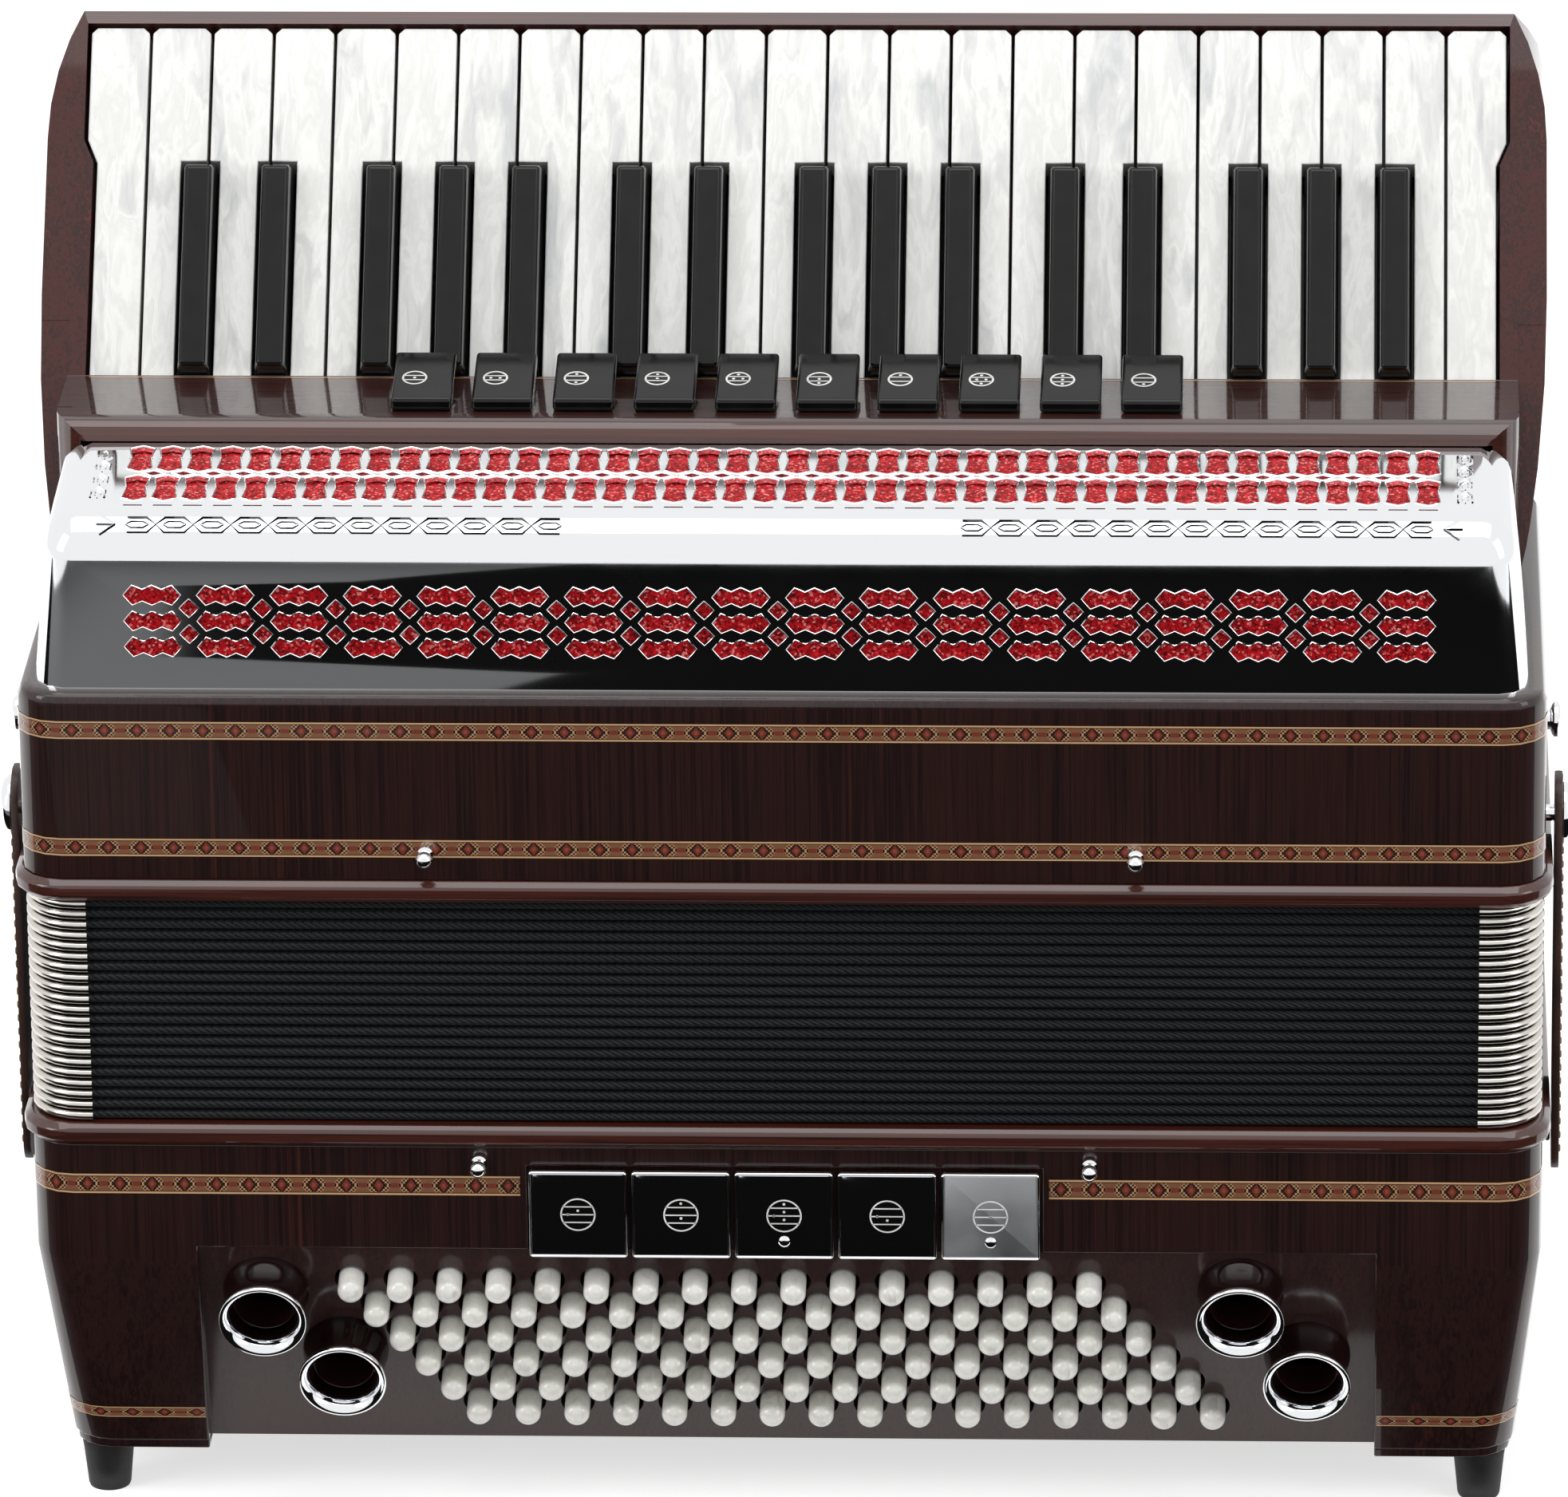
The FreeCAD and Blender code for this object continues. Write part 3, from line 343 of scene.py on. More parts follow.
class Finish:
    """A material and the few calls that build its node graph."""

    def __init__(self, name, color, rough, metal=0.0, coat=0.0, coat_rough=0.03):
        self.material = bpy.data.materials.new(name)
        self.material.use_nodes = True
        self.tree = self.material.node_tree
        self.shader = self.tree.nodes["Principled BSDF"]
        self.material.diffuse_color = color
        for socket, value in (("Base Color", color), ("Roughness", rough), ("Metallic", metal),
                              ("Coat Weight", coat), ("Coat Roughness", coat_rough)):
            self.set(socket, value)

    def feed(self, socket, value):
        """Gives a socket a value, or another node's output."""
        if isinstance(value, bpy.types.NodeSocket):
            self.tree.links.new(value, socket)
        else:
            socket.default_value = value

    def set(self, name, value):
        """Gives one of the shader's own sockets its value."""
        self.feed(self.shader.inputs[name], value)

    def add(self, kind, inputs=(), **settings):
        """A node with its settings and inputs."""
        node = self.tree.nodes.new(kind)
        for name, value in settings.items():
            setattr(node, name, value)
        for name, value in dict(inputs).items():
            self.feed(node.inputs[name], value)
        return node

    def place(self, scale, source="Object"):
        """The object's own coordinates, or the wrap map's, stretched."""
        where = self.add("ShaderNodeTexCoord").outputs[source]
        scale = scale if isinstance(scale, tuple) else (scale, scale, scale)
        return self.add("ShaderNodeMapping", {"Vector": where, "Scale": scale}).outputs["Vector"]

    def axes(self, scale, source="Object"):
        """Those coordinates one by one."""
        return self.add("ShaderNodeSeparateXYZ", {0: self.place(scale, source)}).outputs

    def noise(self, scale, detail=4.0, rough=0.6, warp=0.0):
        """Soft random cloud."""
        return self.add("ShaderNodeTexNoise", {"Vector": self.place(scale), "Scale": 1.0, "Detail": detail,
                                               "Roughness": rough, "Distortion": warp}).outputs["Fac"]

    def cells(self, scale):
        """Random cells, like pebbles or flakes."""
        return self.add("ShaderNodeTexVoronoi", {"Vector": self.place(scale), "Scale": 1.0}).outputs

    def ramp(self, value, stops):
        """Colours along a value."""
        node = self.add("ShaderNodeValToRGB", {"Fac": value})
        elements = node.color_ramp.elements
        while len(elements) < len(stops):
            elements.new(0.5)
        for element, (place, color) in zip(elements, stops):
            element.position, element.color = place, color
        return node.outputs["Color"]

    def math(self, operation, first, second=0.0):
        """One step of arithmetic on values."""
        return self.add("ShaderNodeMath", {0: first, 1: second}, operation=operation).outputs[0]

    def mix(self, amount, first, second, mode="MIX"):
        """Two colours blended."""
        return self.add("ShaderNodeMix", {0: amount, 6: first, 7: second}, data_type="RGBA",
                        blend_type=mode).outputs[2]

    def bump(self, height, strength, depth):
        """Fine relief from a height value; its depth is in millimetres."""
        inputs = {"Strength": strength, "Distance": depth * MM, "Height": height}
        self.set("Normal", self.add("ShaderNodeBump", inputs).outputs["Normal"])

    def roughness(self, value, low, high):
        """Roughness that wanders between two values."""
        inputs = {"Value": value, "To Min": low, "To Max": high}
        self.set("Roughness", self.add("ShaderNodeMapRange", inputs).outputs["Result"])


print("finish helpers ready")

# %% [markdown]
# ### Rosewood under deep lacquer
# The casing is almost black rosewood with thin red-brown streaks, under a thick clear coat. Two noises,
# stretched along the grain, give broad bands and hair-thin pores. The coat is a second, smooth layer on the
# shader: the reflection stays sharp while the wood below stays soft.

# %% Rosewood finishes
def rosewood(board, dark, middle, light, along, coat_rough=0.02, gloss=1.4):
    """Streaky wood with its grain along one axis: x, y or z."""
    def grain(across, lengthwise):
        """The stretch of a noise that is drawn out along the grain."""
        return tuple(lengthwise if axis == along else across for axis in "xyz")

    dark, middle, light = linear(*dark), linear(*middle), linear(*light)
    finish = Finish(board + "_rosewood", middle, 0.42, coat=1.0, coat_rough=coat_rough)
    finish.set("Coat IOR", gloss)
    finish.set("Specular IOR Level", 0.2)
    bands = finish.noise(grain(60.0, 2.0), 3.0, 0.55, 0.4)
    streaks = finish.noise(grain(900.0, 7.0), 5.0, 0.62, 0.3)
    pores = finish.ramp(finish.noise(grain(2600.0, 40.0), 2.0), [(0.42, grey(0.0)), (0.6, grey(1.0))])
    both = finish.math("ADD", finish.math("MULTIPLY", bands, 0.45), finish.math("MULTIPLY", streaks, 0.55))
    wood = finish.ramp(both, [(0.34, dark), (0.48, middle), (0.56, dark), (0.74, light)])
    finish.set("Base Color", finish.mix(0.22, wood, pores, "MULTIPLY"))
    finish.bump(finish.noise(6.0, 1.0), 0.02, 0.5)
    return finish.material


casing_wood = rosewood("casing", (26, 13, 12), (50, 25, 21), (80, 37, 28), "z")
panel_wood = rosewood("panel", (46, 28, 26), (60, 37, 33), (74, 46, 40), "z", coat_rough=0.12)
lip_wood = rosewood("lip", (50, 19, 14), (80, 34, 24), (108, 50, 36), "x", gloss=1.6)
cheek_wood = rosewood("cheek", (34, 12, 10), (74, 27, 20), (122, 46, 30), "z", gloss=1.3)
shelf_wood = rosewood("shelf", (38, 18, 15), (60, 30, 24), (82, 42, 32), "x", gloss=1.8)
print("rosewoods made")

# %% [markdown]
# ### Pearl celluloid
# The white keys and the round buttons are covered with pearl celluloid: silvery swirls with a soft depth,
# different on every key. A noise warps the place where a second noise is read, which draws the folded swirls.
# The number of the key shifts the pattern, so neighbours never match. A marble image would repeat.

# %% Pearl finishes
key_pitch, button_pitch = 18.85, 14.9


def pearl(name, bright, middle, dim, step, stretch):
    """Swirled pearl whose pattern jumps from one key or button to the next."""
    bright, middle, dim = linear(*bright), linear(*middle), linear(*dim)
    finish = Finish(name, bright, 0.16, coat=0.7, coat_rough=0.04)
    steps = finish.math("DIVIDE", finish.axes(1.0)[0], step * MM)
    number = finish.math("FLOOR", finish.math("ADD", steps, 0.5))
    where = finish.place(stretch)

    def cloud(place, jump, scale, detail, soft):
        """A noise that is another one on each key."""
        inputs = {"Vector": place, "W": finish.math("MULTIPLY", number, jump), "Scale": scale,
                  "Detail": detail, "Roughness": soft}
        return finish.add("ShaderNodeTexNoise", inputs, noise_dimensions="4D").outputs

    warp = cloud(where, 3.7, 1.0, 3.0, 0.55)["Color"]
    inputs = {0: warp, 1: (2.6, 2.6, 2.6), 2: where}
    pushed = finish.add("ShaderNodeVectorMath", inputs, operation="MULTIPLY_ADD")
    swirl = cloud(pushed.outputs["Vector"], 5.3, 1.3, 5.0, 0.6)["Fac"]
    stops = [(0.33, dim), (0.45, middle), (0.5, bright), (0.56, middle), (0.64, bright)]
    finish.set("Base Color", finish.ramp(swirl, stops))
    finish.roughness(swirl, 0.10, 0.28)
    return finish.material


white_pearl = pearl("white_pearl", (250, 250, 247), (236, 236, 233), (208, 210, 211), key_pitch,
                    (60.0, 15.0, 15.0))
button_pearl = pearl("button_pearl", (250, 249, 243), (240, 239, 231), (220, 219, 212), button_pitch / 2.0,
                     (60.0, 60.0, 60.0))
print("pearls made")

# %% [markdown]
# ### Chrome, black gloss, rubber and leather
# Chrome needs little colour: it shows what stands around it, so the studio is part of this finish. A trace of
# uneven roughness stops it looking computed. Leather and rubber get their grain from small cells and noise.

# %% Chrome, gloss, leather, rubber and spruce
def chrome_finish(name, color, rough):
    """Polished metal with a faint unevenness."""
    finish = Finish(name, color + (1.0,), rough, metal=1.0)
    finish.roughness(finish.noise(40.0, 3.0), rough * 0.6, rough * 1.6)
    finish.bump(finish.noise(9.0, 0.0), 0.012, 0.6)
    return finish.material


def gloss_finish(name, color, rough, coat=0.0, shine=0.5):
    """Moulded plastic: a trace of orange peel under the shine."""
    finish = Finish(name, color, rough, coat=coat)
    finish.set("Specular IOR Level", shine)
    lighter = tuple(min(1.0, c * 1.35 + 0.002) for c in color[:3]) + (1.0,)
    finish.set("Base Color", finish.ramp(finish.noise(120.0, 2.0), [(0.35, color), (0.7, lighter)]))
    finish.bump(finish.noise(350.0, 1.0), 0.02, 0.2)
    return finish.material


def leather_finish(name, dark, light):
    """Pebbled leather, darker in its creases."""
    finish = Finish(name, dark, 0.5, coat=0.15, coat_rough=0.3)
    pebbles = finish.cells(900.0)["Distance"]
    tone = finish.ramp(finish.noise(60.0), [(0.35, dark), (0.65, light)])
    creases = finish.ramp(pebbles, [(0.0, grey(0.55)), (0.5, grey(1.0))])
    finish.set("Base Color", finish.mix(0.5, tone, creases, "MULTIPLY"))
    finish.bump(pebbles, 0.35, 0.2)
    return finish.material


def grained_finish(name, color, rough, scale, stops, relief=None):
    """Rubber or bare wood: two tones in a cloud, and perhaps a fine relief."""
    finish = Finish(name, color, rough)
    finish.set("Base Color", finish.ramp(finish.noise(scale), stops))
    if relief:
        finish.bump(finish.noise(relief), 0.25, 0.2)
    return finish.material


chrome = chrome_finish("chrome_plate", (0.86, 0.87, 0.89), 0.045)
dark_chrome = chrome_finish("mirror_plate", (0.62, 0.63, 0.66), 0.035)
steel = chrome_finish("axle_steel", (0.55, 0.55, 0.56), 0.25)
tab_steel = chrome_finish("satin_plate", (0.62, 0.63, 0.65), 0.42)
clip_steel = chrome_finish("clip_plate", (0.66, 0.63, 0.59), 0.16)
black_gloss = gloss_finish("black_key_gloss", linear(10, 10, 11), 0.07, shine=0.32)
collar_gloss = gloss_finish("collar_gloss", linear(22, 8, 7), 0.12)
throat_gloss = gloss_finish("throat_gloss", linear(34, 10, 9), 0.35)
white_ink = gloss_finish("white_ink", linear(222, 222, 220), 0.4)
stitch_thread = gloss_finish("stitch_thread", linear(150, 120, 90), 0.6)
strap_leather = leather_finish("strap_leather", linear(42, 22, 17), linear(66, 36, 26))
foot_rubber = grained_finish("foot_rubber", linear(16, 16, 17), 0.62, 200.0,
                             [(0.35, linear(12, 12, 13)), (0.7, linear(30, 30, 31))], relief=1500.0)
reed_spruce = grained_finish("reed_block_spruce", linear(196, 158, 110), 0.55, (6.0, 400.0, 400.0),
                             [(0.3, linear(170, 128, 82)), (0.7, linear(212, 178, 130))])
print("plain finishes made")

# %% [markdown]
# ### Red glitter cloth
# Behind the pierced chrome lies a cloth full of red metal flakes. Small cells each get their own tilt and
# brightness, so the light picks out single sparks. Real flakes as meshes would be far too many.

# %% Glitter
def glitter_finish(name):
    """Red flakes, each with its own tone and tilt."""
    finish = Finish(name, linear(190, 12, 26), 0.36, metal=0.3)
    finish.set("Specular IOR Level", 0.2)
    flakes = finish.add("ShaderNodeSeparateColor", {0: finish.cells(1500.0)["Color"]}).outputs
    tones = [(0.0, linear(96, 2, 8)), (0.45, linear(190, 8, 22)), (0.82, linear(232, 24, 38)),
             (0.97, linear(255, 150, 145))]
    finish.set("Base Color", finish.ramp(flakes[0], tones))
    finish.bump(flakes[1], 0.9, 0.6)
    return finish.material


red_glitter = glitter_finish("red_glitter")
print("glitter made")

# %% [markdown]
# ### Bellows cloth and inlay
# The bellows cloth is black with a fine slanted rib, like rope, along every pleat. Its grooves are darkened
# as painted shade and its cord tops lightened as a painted highlight. The inlay band is a strip of coloured
# veneers: tan borders, and between them ringed hearts with small mirrored chequers. Both use the wrap map,
# which unrolls the band to a flat strip in metres, so the pattern runs evenly round the corners.

# %% Cloth and inlay finishes
rib_pitch = 4.8


def bellows_cloth_finish(name):
    """Black ribbed cloth with slanted cords: painted shade in the grooves between them, a painted highlight
    on their tops.
    """
    finish = Finish(name, linear(24, 24, 26), 0.55)
    for socket, value in (("Specular IOR Level", 0.25), ("Sheen Weight", 0.06), ("Sheen Roughness", 0.4)):
        finish.set(socket, value)
    along, across = finish.axes(1.0, "UV")[:2]
    slanted = finish.math("ADD", along, finish.math("MULTIPLY", across, 0.8))
    wave = finish.math("SINE", finish.math("MULTIPLY", slanted, 2.0 * math.pi / (rib_pitch * MM)))
    cord = finish.math("ABSOLUTE", wave)
    # Painted light along the cords: the dark end of this ramp is painted shade in the grooves, the light end
    # a painted highlight on the cord tops.
    tone = finish.ramp(cord, [(0.0, linear(5, 6, 7)), (0.4, linear(13, 15, 17)), (1.0, linear(31, 35, 38))])
    fuzz = finish.ramp(finish.noise(2500.0, 2.0), [(0.3, grey(0.5)), (0.7, grey(1.0))])
    finish.set("Base Color", finish.mix(0.35, tone, fuzz, "MULTIPLY"))
    finish.bump(cord, 0.7, 0.5)
    return finish.material


def inlay_finish(name, pitch):
    """A veneer band: borders, ringed hearts and chequers, read from the wrap map."""
    finish = Finish(name, linear(160, 110, 70), 0.35, coat=1.0)

    def less(value, limit):
        """One where a value is under a limit."""
        return finish.math("LESS_THAN", value, limit)

    def more(value, limit):
        """One where a value is over a limit."""
        return finish.math("GREATER_THAN", value, limit)

    run, rise = finish.axes((1.0 / (pitch * MM), 1.0, 1.0), "UV")[:2]
    across = finish.math("ABSOLUTE", finish.math("SUBTRACT", finish.math("FRACT", run), 0.5))
    up = finish.math("ABSOLUTE", finish.math("SUBTRACT", rise, 0.5))
    tile = finish.math("ADD", finish.math("MULTIPLY", across, 2.3), up)
    mirrored = finish.add("ShaderNodeCombineXYZ", {0: finish.math("MULTIPLY", across, 16.0),
                                                   1: finish.math("MULTIPLY", up, 10.0)}).outputs[0]
    inputs = {"Vector": mirrored, "Scale": 1.0, "Color1": linear(40, 20, 15), "Color2": linear(190, 146, 104)}
    chequer = finish.add("ShaderNodeTexChecker", inputs).outputs["Color"]
    layers = [(less(tile, 0.50), linear(44, 22, 16)),
              (less(tile, 0.34), linear(122, 48, 32)),
              (more(tile, 0.92), linear(128, 86, 58)),
              (finish.math("MULTIPLY", more(across, 0.38), less(up, 0.12)), linear(126, 50, 32)),
              (finish.math("MULTIPLY", less(across, 0.05), less(up, 0.10)), linear(152, 70, 44)),
              (more(up, 0.35), linear(92, 56, 38)),
              (more(up, 0.41), linear(206, 164, 120))]
    veneers = chequer
    for where, veneer in layers:
        veneers = finish.mix(where, veneers, veneer)
    finish.set("Base Color", veneers)
    return finish.material


bellows_cloth = bellows_cloth_finish("bellows_cloth")
inlay = inlay_finish("inlay_band", 9.8)
plain_inlay = gloss_finish("inlay_line", linear(188, 140, 92), 0.35, coat=1.0)
print("cloth and inlay made")

# %% [markdown]
# ## The casing and its frames
# The bass box, the treble box and the two bellows frames are lacquered wood. They keep the CAD shape with
# eased edges. The end plate is cut back behind the button panel, so the sloped board stands in a recess.

# %% Lacquered casing
panel_side, cut_side = 178.0, 250.0
for name, finish, width in (("bass_box", casing_wood, 0.7), ("treble_box", casing_wood, 0.5),
                            ("bass_bellows_frame", lip_wood, 0.5), ("treble_bellows_frame", lip_wood, 0.5)):
    eased_copy(name, finish, width)
recess_outline = [(-panel_side, 5.0), (panel_side, 5.0), (panel_side, 31.0), (-panel_side, 31.0)]
recess = cutter("recess", recess_outline, 10.0, 25.0)
end_plate = eased_copy("bass_end_plate", casing_wood, 0.5, tools=[recess])
print("end plate faces:", len(end_plate.data.polygons))

# %% [markdown]
# ## The keyboard body
# This is one solid with cheeks, a rail above the key tips and a shelf for the switches. The shelf stands in
# from the cheeks, so some wood is taken off at both of its ends with Boolean cuts. The rail and the shelf are
# other boards: their faces are picked by place and get wood whose grain runs across. Separate meshes would
# work too, but would leave a visible seam.

# %% Wood to take off beside the shelf
hood_half, hood_radius, hood_front, hood_back = 219.8, 12.0, 60.0, 71.9
cut_low, cut_high, cut_front, slope_foot, slope_head = 262.0, 372.0, 40.0, 71.0, 60.0
cheek_rise, cheek_margin = 1.2, 0.4
cheek_start = key_start - cheek_rise / math.cos(key_lean) + cheek_margin
below_shelf, below_lean = 36.0, math.radians(36.5)
above_shelf, above_lean = 14.0, math.radians(37.5)


def hood_cuts(side):
    """The front corner beside the shelf is round, and the cheek slopes on behind it."""
    turns = [math.pi / 2.0 * step / 8 for step in range(1, 9)]
    corner = [(cut_side, hood_back), (hood_half, hood_back)]
    corner += [(hood_half - hood_radius + hood_radius * math.cos(t),
                hood_front + hood_radius - hood_radius * math.sin(t)) for t in turns]
    corner += [(hood_half - hood_radius, cut_front), (cut_side, cut_front)]
    slope = [(cut_front, cut_low), (slope_foot, cut_low),
             (cheek_start - below_shelf * math.tan(below_lean), shelf_z - below_shelf),
             (cheek_start, shelf_z),
             (cheek_start + above_shelf * math.tan(above_lean), shelf_z + above_shelf),
             (slope_head, cut_high), (cut_front, cut_high)]
    low, high = sorted((side * hood_half, side * cut_side))
    return [cutter("hood_corner", [(side * x, depth) for x, depth in corner], cut_low, cut_high),
            cutter("hood_side", slope, low, high, upright=False)]


print("cheek starts at depth", round(cheek_start, 2))

# %% Keyboard body
rail_low = key_point(0.0, 112.5, 0.0).z / MM - 6.0
rail_depth = (key_point(0.0, 112.5, 30.0).y - front_y) / MM
well_side, lip_depth, lip_rise = 217.5, 68.0, 4.0
cheek_inside, rail_back_z = 214.0, 300.0


def measured(point):
    """A point's place in millimetres across, behind the front and above the floor."""
    return point.x / MM, (point.y - front_y) / MM, point.z / MM


def outer_edge(edge):
    """Whether an edge lies on the outside of the cheeks, the back or the top."""
    x, depth, z = measured((edge.verts[0].co + edge.verts[1].co) / 2.0)
    side = 1.0 if x > 0 else -1.0
    outside = any(face.normal.x * side > 0.5 for face in edge.link_faces) and abs(x) > cheek_inside
    return outside or (any(face.normal.y > 0.6 for face in edge.link_faces) and z > rail_back_z)


def behind(face):
    """Whether a face looks back, where the wood has no openings."""
    return face.normal.y > 0.2


def on_a_lip(x, depth, z):
    """Whether a place is on the rail above the key tips or on the front edge of the shelf."""
    rail = z > rail_low and depth > rail_depth
    shelf = depth < lip_depth and z > treble_top + lip_rise
    return (rail or shelf) and abs(x) < well_side


def on_the_shelf(x, depth, z):
    """Whether a place is on the flat shelf in front of the keys."""
    return abs(z - shelf_z) < 0.6 and depth < key_start + 0.5 and abs(x) < hood_half


def choose_faces(piece, finish, wanted):
    """Gives another finish to the faces whose middle passes a test."""
    piece.data.materials.append(finish)
    chosen = [face for face in piece.data.polygons if wanted(*measured(face.center))]
    for face in chosen:
        face.material_index = len(piece.data.materials) - 1
    return len(chosen)


keyboard = eased_copy("keyboard_body", cheek_wood, 0.35, merge=behind, tools=hood_cuts(-1) + hood_cuts(1),
                      wide=(outer_edge, 2.2, 3))
print("faces on the lips:", choose_faces(keyboard, lip_wood, on_a_lip))
print("faces on the shelf:", choose_faces(keyboard, shelf_wood, on_the_shelf))

# %% [markdown]
# ## The button panel
# A sloped board with a round hole for every bass button and a larger one for each sound port. A flat curve
# with circles inside it fills to exactly such a board and can be given its thickness. Cutting a hundred holes
# with Boolean modifiers would be slower and would leave long thin faces.

# %% Button panel with round holes
panel_half, panel_thickness = 177.975, 5.0
panel_slope = math.hypot(panel_draw, panel_rise)
socket_radius, port_hole, port_margin = 5.2, 8.6, 47.6
port_places = [(-1, 0.419, 0.227), (-1, 0.905, 0.541), (1, 0.853, 0.200), (1, 0.430, 0.534)]
port_spots = [(side * (panel_half - across * port_margin), down * panel_slope)
              for side, across, down in port_places]
first_button, row_pitch = (-131.875, 12.4), 9.63
button_spots = [(first_button[0] + (number + row / 2.0) * button_pitch, first_button[1] + row * row_pitch)
                for row in range(6) for number in range(16)]


def rectangle(u_low, u_high, v_low, v_high):
    """A square-cornered outline."""
    return [(u_low, v_low), (u_high, v_low), (u_high, v_high), (u_low, v_high)]


def holed_board(name, outlines, thickness, place, finish):
    """A board from its outline and its holes, laid on a surface by place(u, v, out)."""
    curve = bpy.data.curves.new(name, "CURVE")
    curve.dimensions, curve.fill_mode, curve.extrude = "2D", "BOTH", thickness / 2.0
    for outline in outlines:
        spline = curve.splines.new("POLY")
        spline.points.add(len(outline) - 1)
        for point, (u, v) in zip(spline.points, outline):
            point.co = (u, v, 0.0, 1.0)
        spline.use_cyclic_u = True
    drawing = put_in_scene(name, curve)
    mesh = bpy.data.meshes.new_from_object(drawing.evaluated_get(bpy.context.evaluated_depsgraph_get()))
    bpy.data.objects.remove(drawing)
    for vertex in mesh.vertices:
        u, v, out = vertex.co
        vertex.co = place(u, v, out - thickness / 2.0)
    reshape(mesh, lambda shape: bmesh.ops.remove_doubles(shape, verts=shape.verts, dist=1e-6))
    reshape(mesh, face_outward)
    mesh.materials.clear()
    mesh.materials.append(finish)
    shade(mesh, 30.0)
    return put_in_scene(name, mesh)


board_outlines = [rectangle(-panel_half, panel_half, 0.0, panel_slope)]
board_outlines += [circle(x, down, socket_radius) for x, down in button_spots]
board_outlines += [circle(x, down, port_hole, 40) for x, down in port_spots]
board = holed_board("button_board", board_outlines, panel_thickness, panel_point, panel_wood)
belongs(board, "bass_side", "lacquer", "bass_button_panel")
print("button board faces:", len(board.data.polygons))

# %% [markdown]
# ## Buttons and sound ports
# Each bass button is a short rod with a domed end, turned on a lathe. The profile is a handful of radii; the
# lathe helper repeats it at every place of the slanted rows. The ports are turned too: a dark collar, a
# flared chrome rim, and a dark throat inside it.

# %% Bass buttons
outward = Vector((0.0, -math.cos(panel_lean), -math.sin(panel_lean)))
button_radius, button_stand, button_root, dome_rise = 3.9, 9.0, -9.0, 3.2
button_profile = [(button_radius, button_root)]
for degrees in range(0, 85, 14):
    rise = dome_rise * math.sin(math.radians(degrees))
    button_profile.append((button_radius * math.cos(math.radians(degrees)), button_stand - dome_rise + rise))
button_chunks = [turned(button_profile, panel_point(x, down, 0.0), outward, 24) for x, down in button_spots]
buttons = make_piece("pearl_buttons", button_chunks, button_pearl, 50.0)
belongs(buttons, "bass_buttons", "pearl_button", "bass_buttons")
print("buttons:", len(button_chunks))

# %% Sound ports
collar_profile = [(13.0, 0.0), (13.1, 1.0), (12.8, 2.6), (12.1, 5.0), (11.6, 8.0), (11.5, 10.2), (11.9, 12.0),
                  (9.9, 12.0), (9.5, 10.0), (9.4, 0.0)]
rim_profile = [(11.4, 11.6), (12.4, 12.4), (13.1, 13.4), (13.4, 14.6), (13.35, 15.5), (12.95, 15.95),
               (12.4, 15.9), (11.6, 15.3), (10.8, 14.2), (10.1, 12.7), (9.6, 10.9), (9.25, 8.8), (9.1, 6.8),
               (9.3, 6.7), (9.6, 8.8), (10.2, 11.0)]
throat_profile = [(9.15, 7.2), (9.0, 3.0), (8.6, 0.0), (8.5, -5.0), (8.3, -5.0), (8.35, 0.0), (8.8, 3.0),
                  (9.0, 7.2)]
for name, profile, finish, slot in (("port_rims", rim_profile, chrome, "chrome"),
                                    ("port_collars", collar_profile, collar_gloss, "lacquer"),
                                    ("port_linings", throat_profile, throat_gloss, "lacquer")):
    chunks = [turned(profile, panel_point(x, down, 0.0), outward, 48, hollow=True) for x, down in port_spots]
    belongs(make_piece(name, chunks, finish, 60.0), "bass_side", slot, "bass_sound_ports")
    print(name, len(chunks))

# %% [markdown]
# ## Feet, pins, studs and knobs
# All of the small round parts are turned as well, each from its own profile and at the place that the CAD
# values give. The feet are rubber, slightly cupped at the tip, with a rounded shoulder. The metal ones are
# pins with ball heads, broad studs for the straps, and flat knobs and catches.

# %% Feet
foot_side, foot_depths = casing_half - 18.0, (27.5, 165.0)
foot_profile = [(5.2, 0.35), (5.6, 0.0), (6.2, 0.05), (6.5, 0.8), (7.0, 6.0), (7.7, 13.0), (8.0, 15.0),
                (7.9, 15.7), (7.4, 16.0)]
foot_chunks = [turned(foot_profile, at(side * foot_side, depth, 0.0), Vector((0, 0, 1)), 32)
               for side in (-1, 1) for depth in foot_depths]
belongs(make_piece("rubber_feet", foot_chunks, foot_rubber), "bass_side", "rubber", "bass_feet")
print("feet:", len(foot_chunks))

# %% Pins, studs and knobs
ball_radius, ball_middle, cap_low = 2.6, 5.0, 5.4
pin_profile = [(2.4, 0.0), (2.4, 0.5), (1.5, 0.9), (1.4, 2.0)]
for degrees in (34, 50, 70, 90, 110, 130, 150, 168):
    turn = math.radians(degrees)
    pin_profile.append((ball_radius * math.sin(turn), ball_middle - ball_radius * math.cos(turn)))
stud_cap = [(9.0, 0.0), (9.4, 0.4), (9.4, 1.3), (8.6, 2.5), (7.0, 3.5), (4.6, 4.3), (2.0, 4.6)]
stud_profile = [(2.5, 0.0), (2.5, cap_low)] + [(radius, cap_low + rise) for radius, rise in stud_cap]
knob_profile = [(3.6, 0.0), (3.0, 0.6), (3.0, 1.4), (4.6, 2.0), (5.4, 2.6), (5.4, 3.6), (4.8, 4.3),
                (3.2, 4.8)]
catch_profile = [(4.5, 0.0), (4.5, 2.2), (4.1, 2.7), (3.2, 2.7)]
frame_height, strap_depth = 7.0, 40.0
treble_low, bass_high = bellows_high + frame_height, bellows_low - frame_height
stud_z, catch_z, knob_z = treble_low + 8.0, bass_high - 8.0, treble_top - 21.0
treble_pin_side, treble_pin_z, bass_pin_side, bass_pin_z = 106.0, treble_low + 8.5, 92.0, bass_high - 5.5
treble_metal, bass_metal = [], []
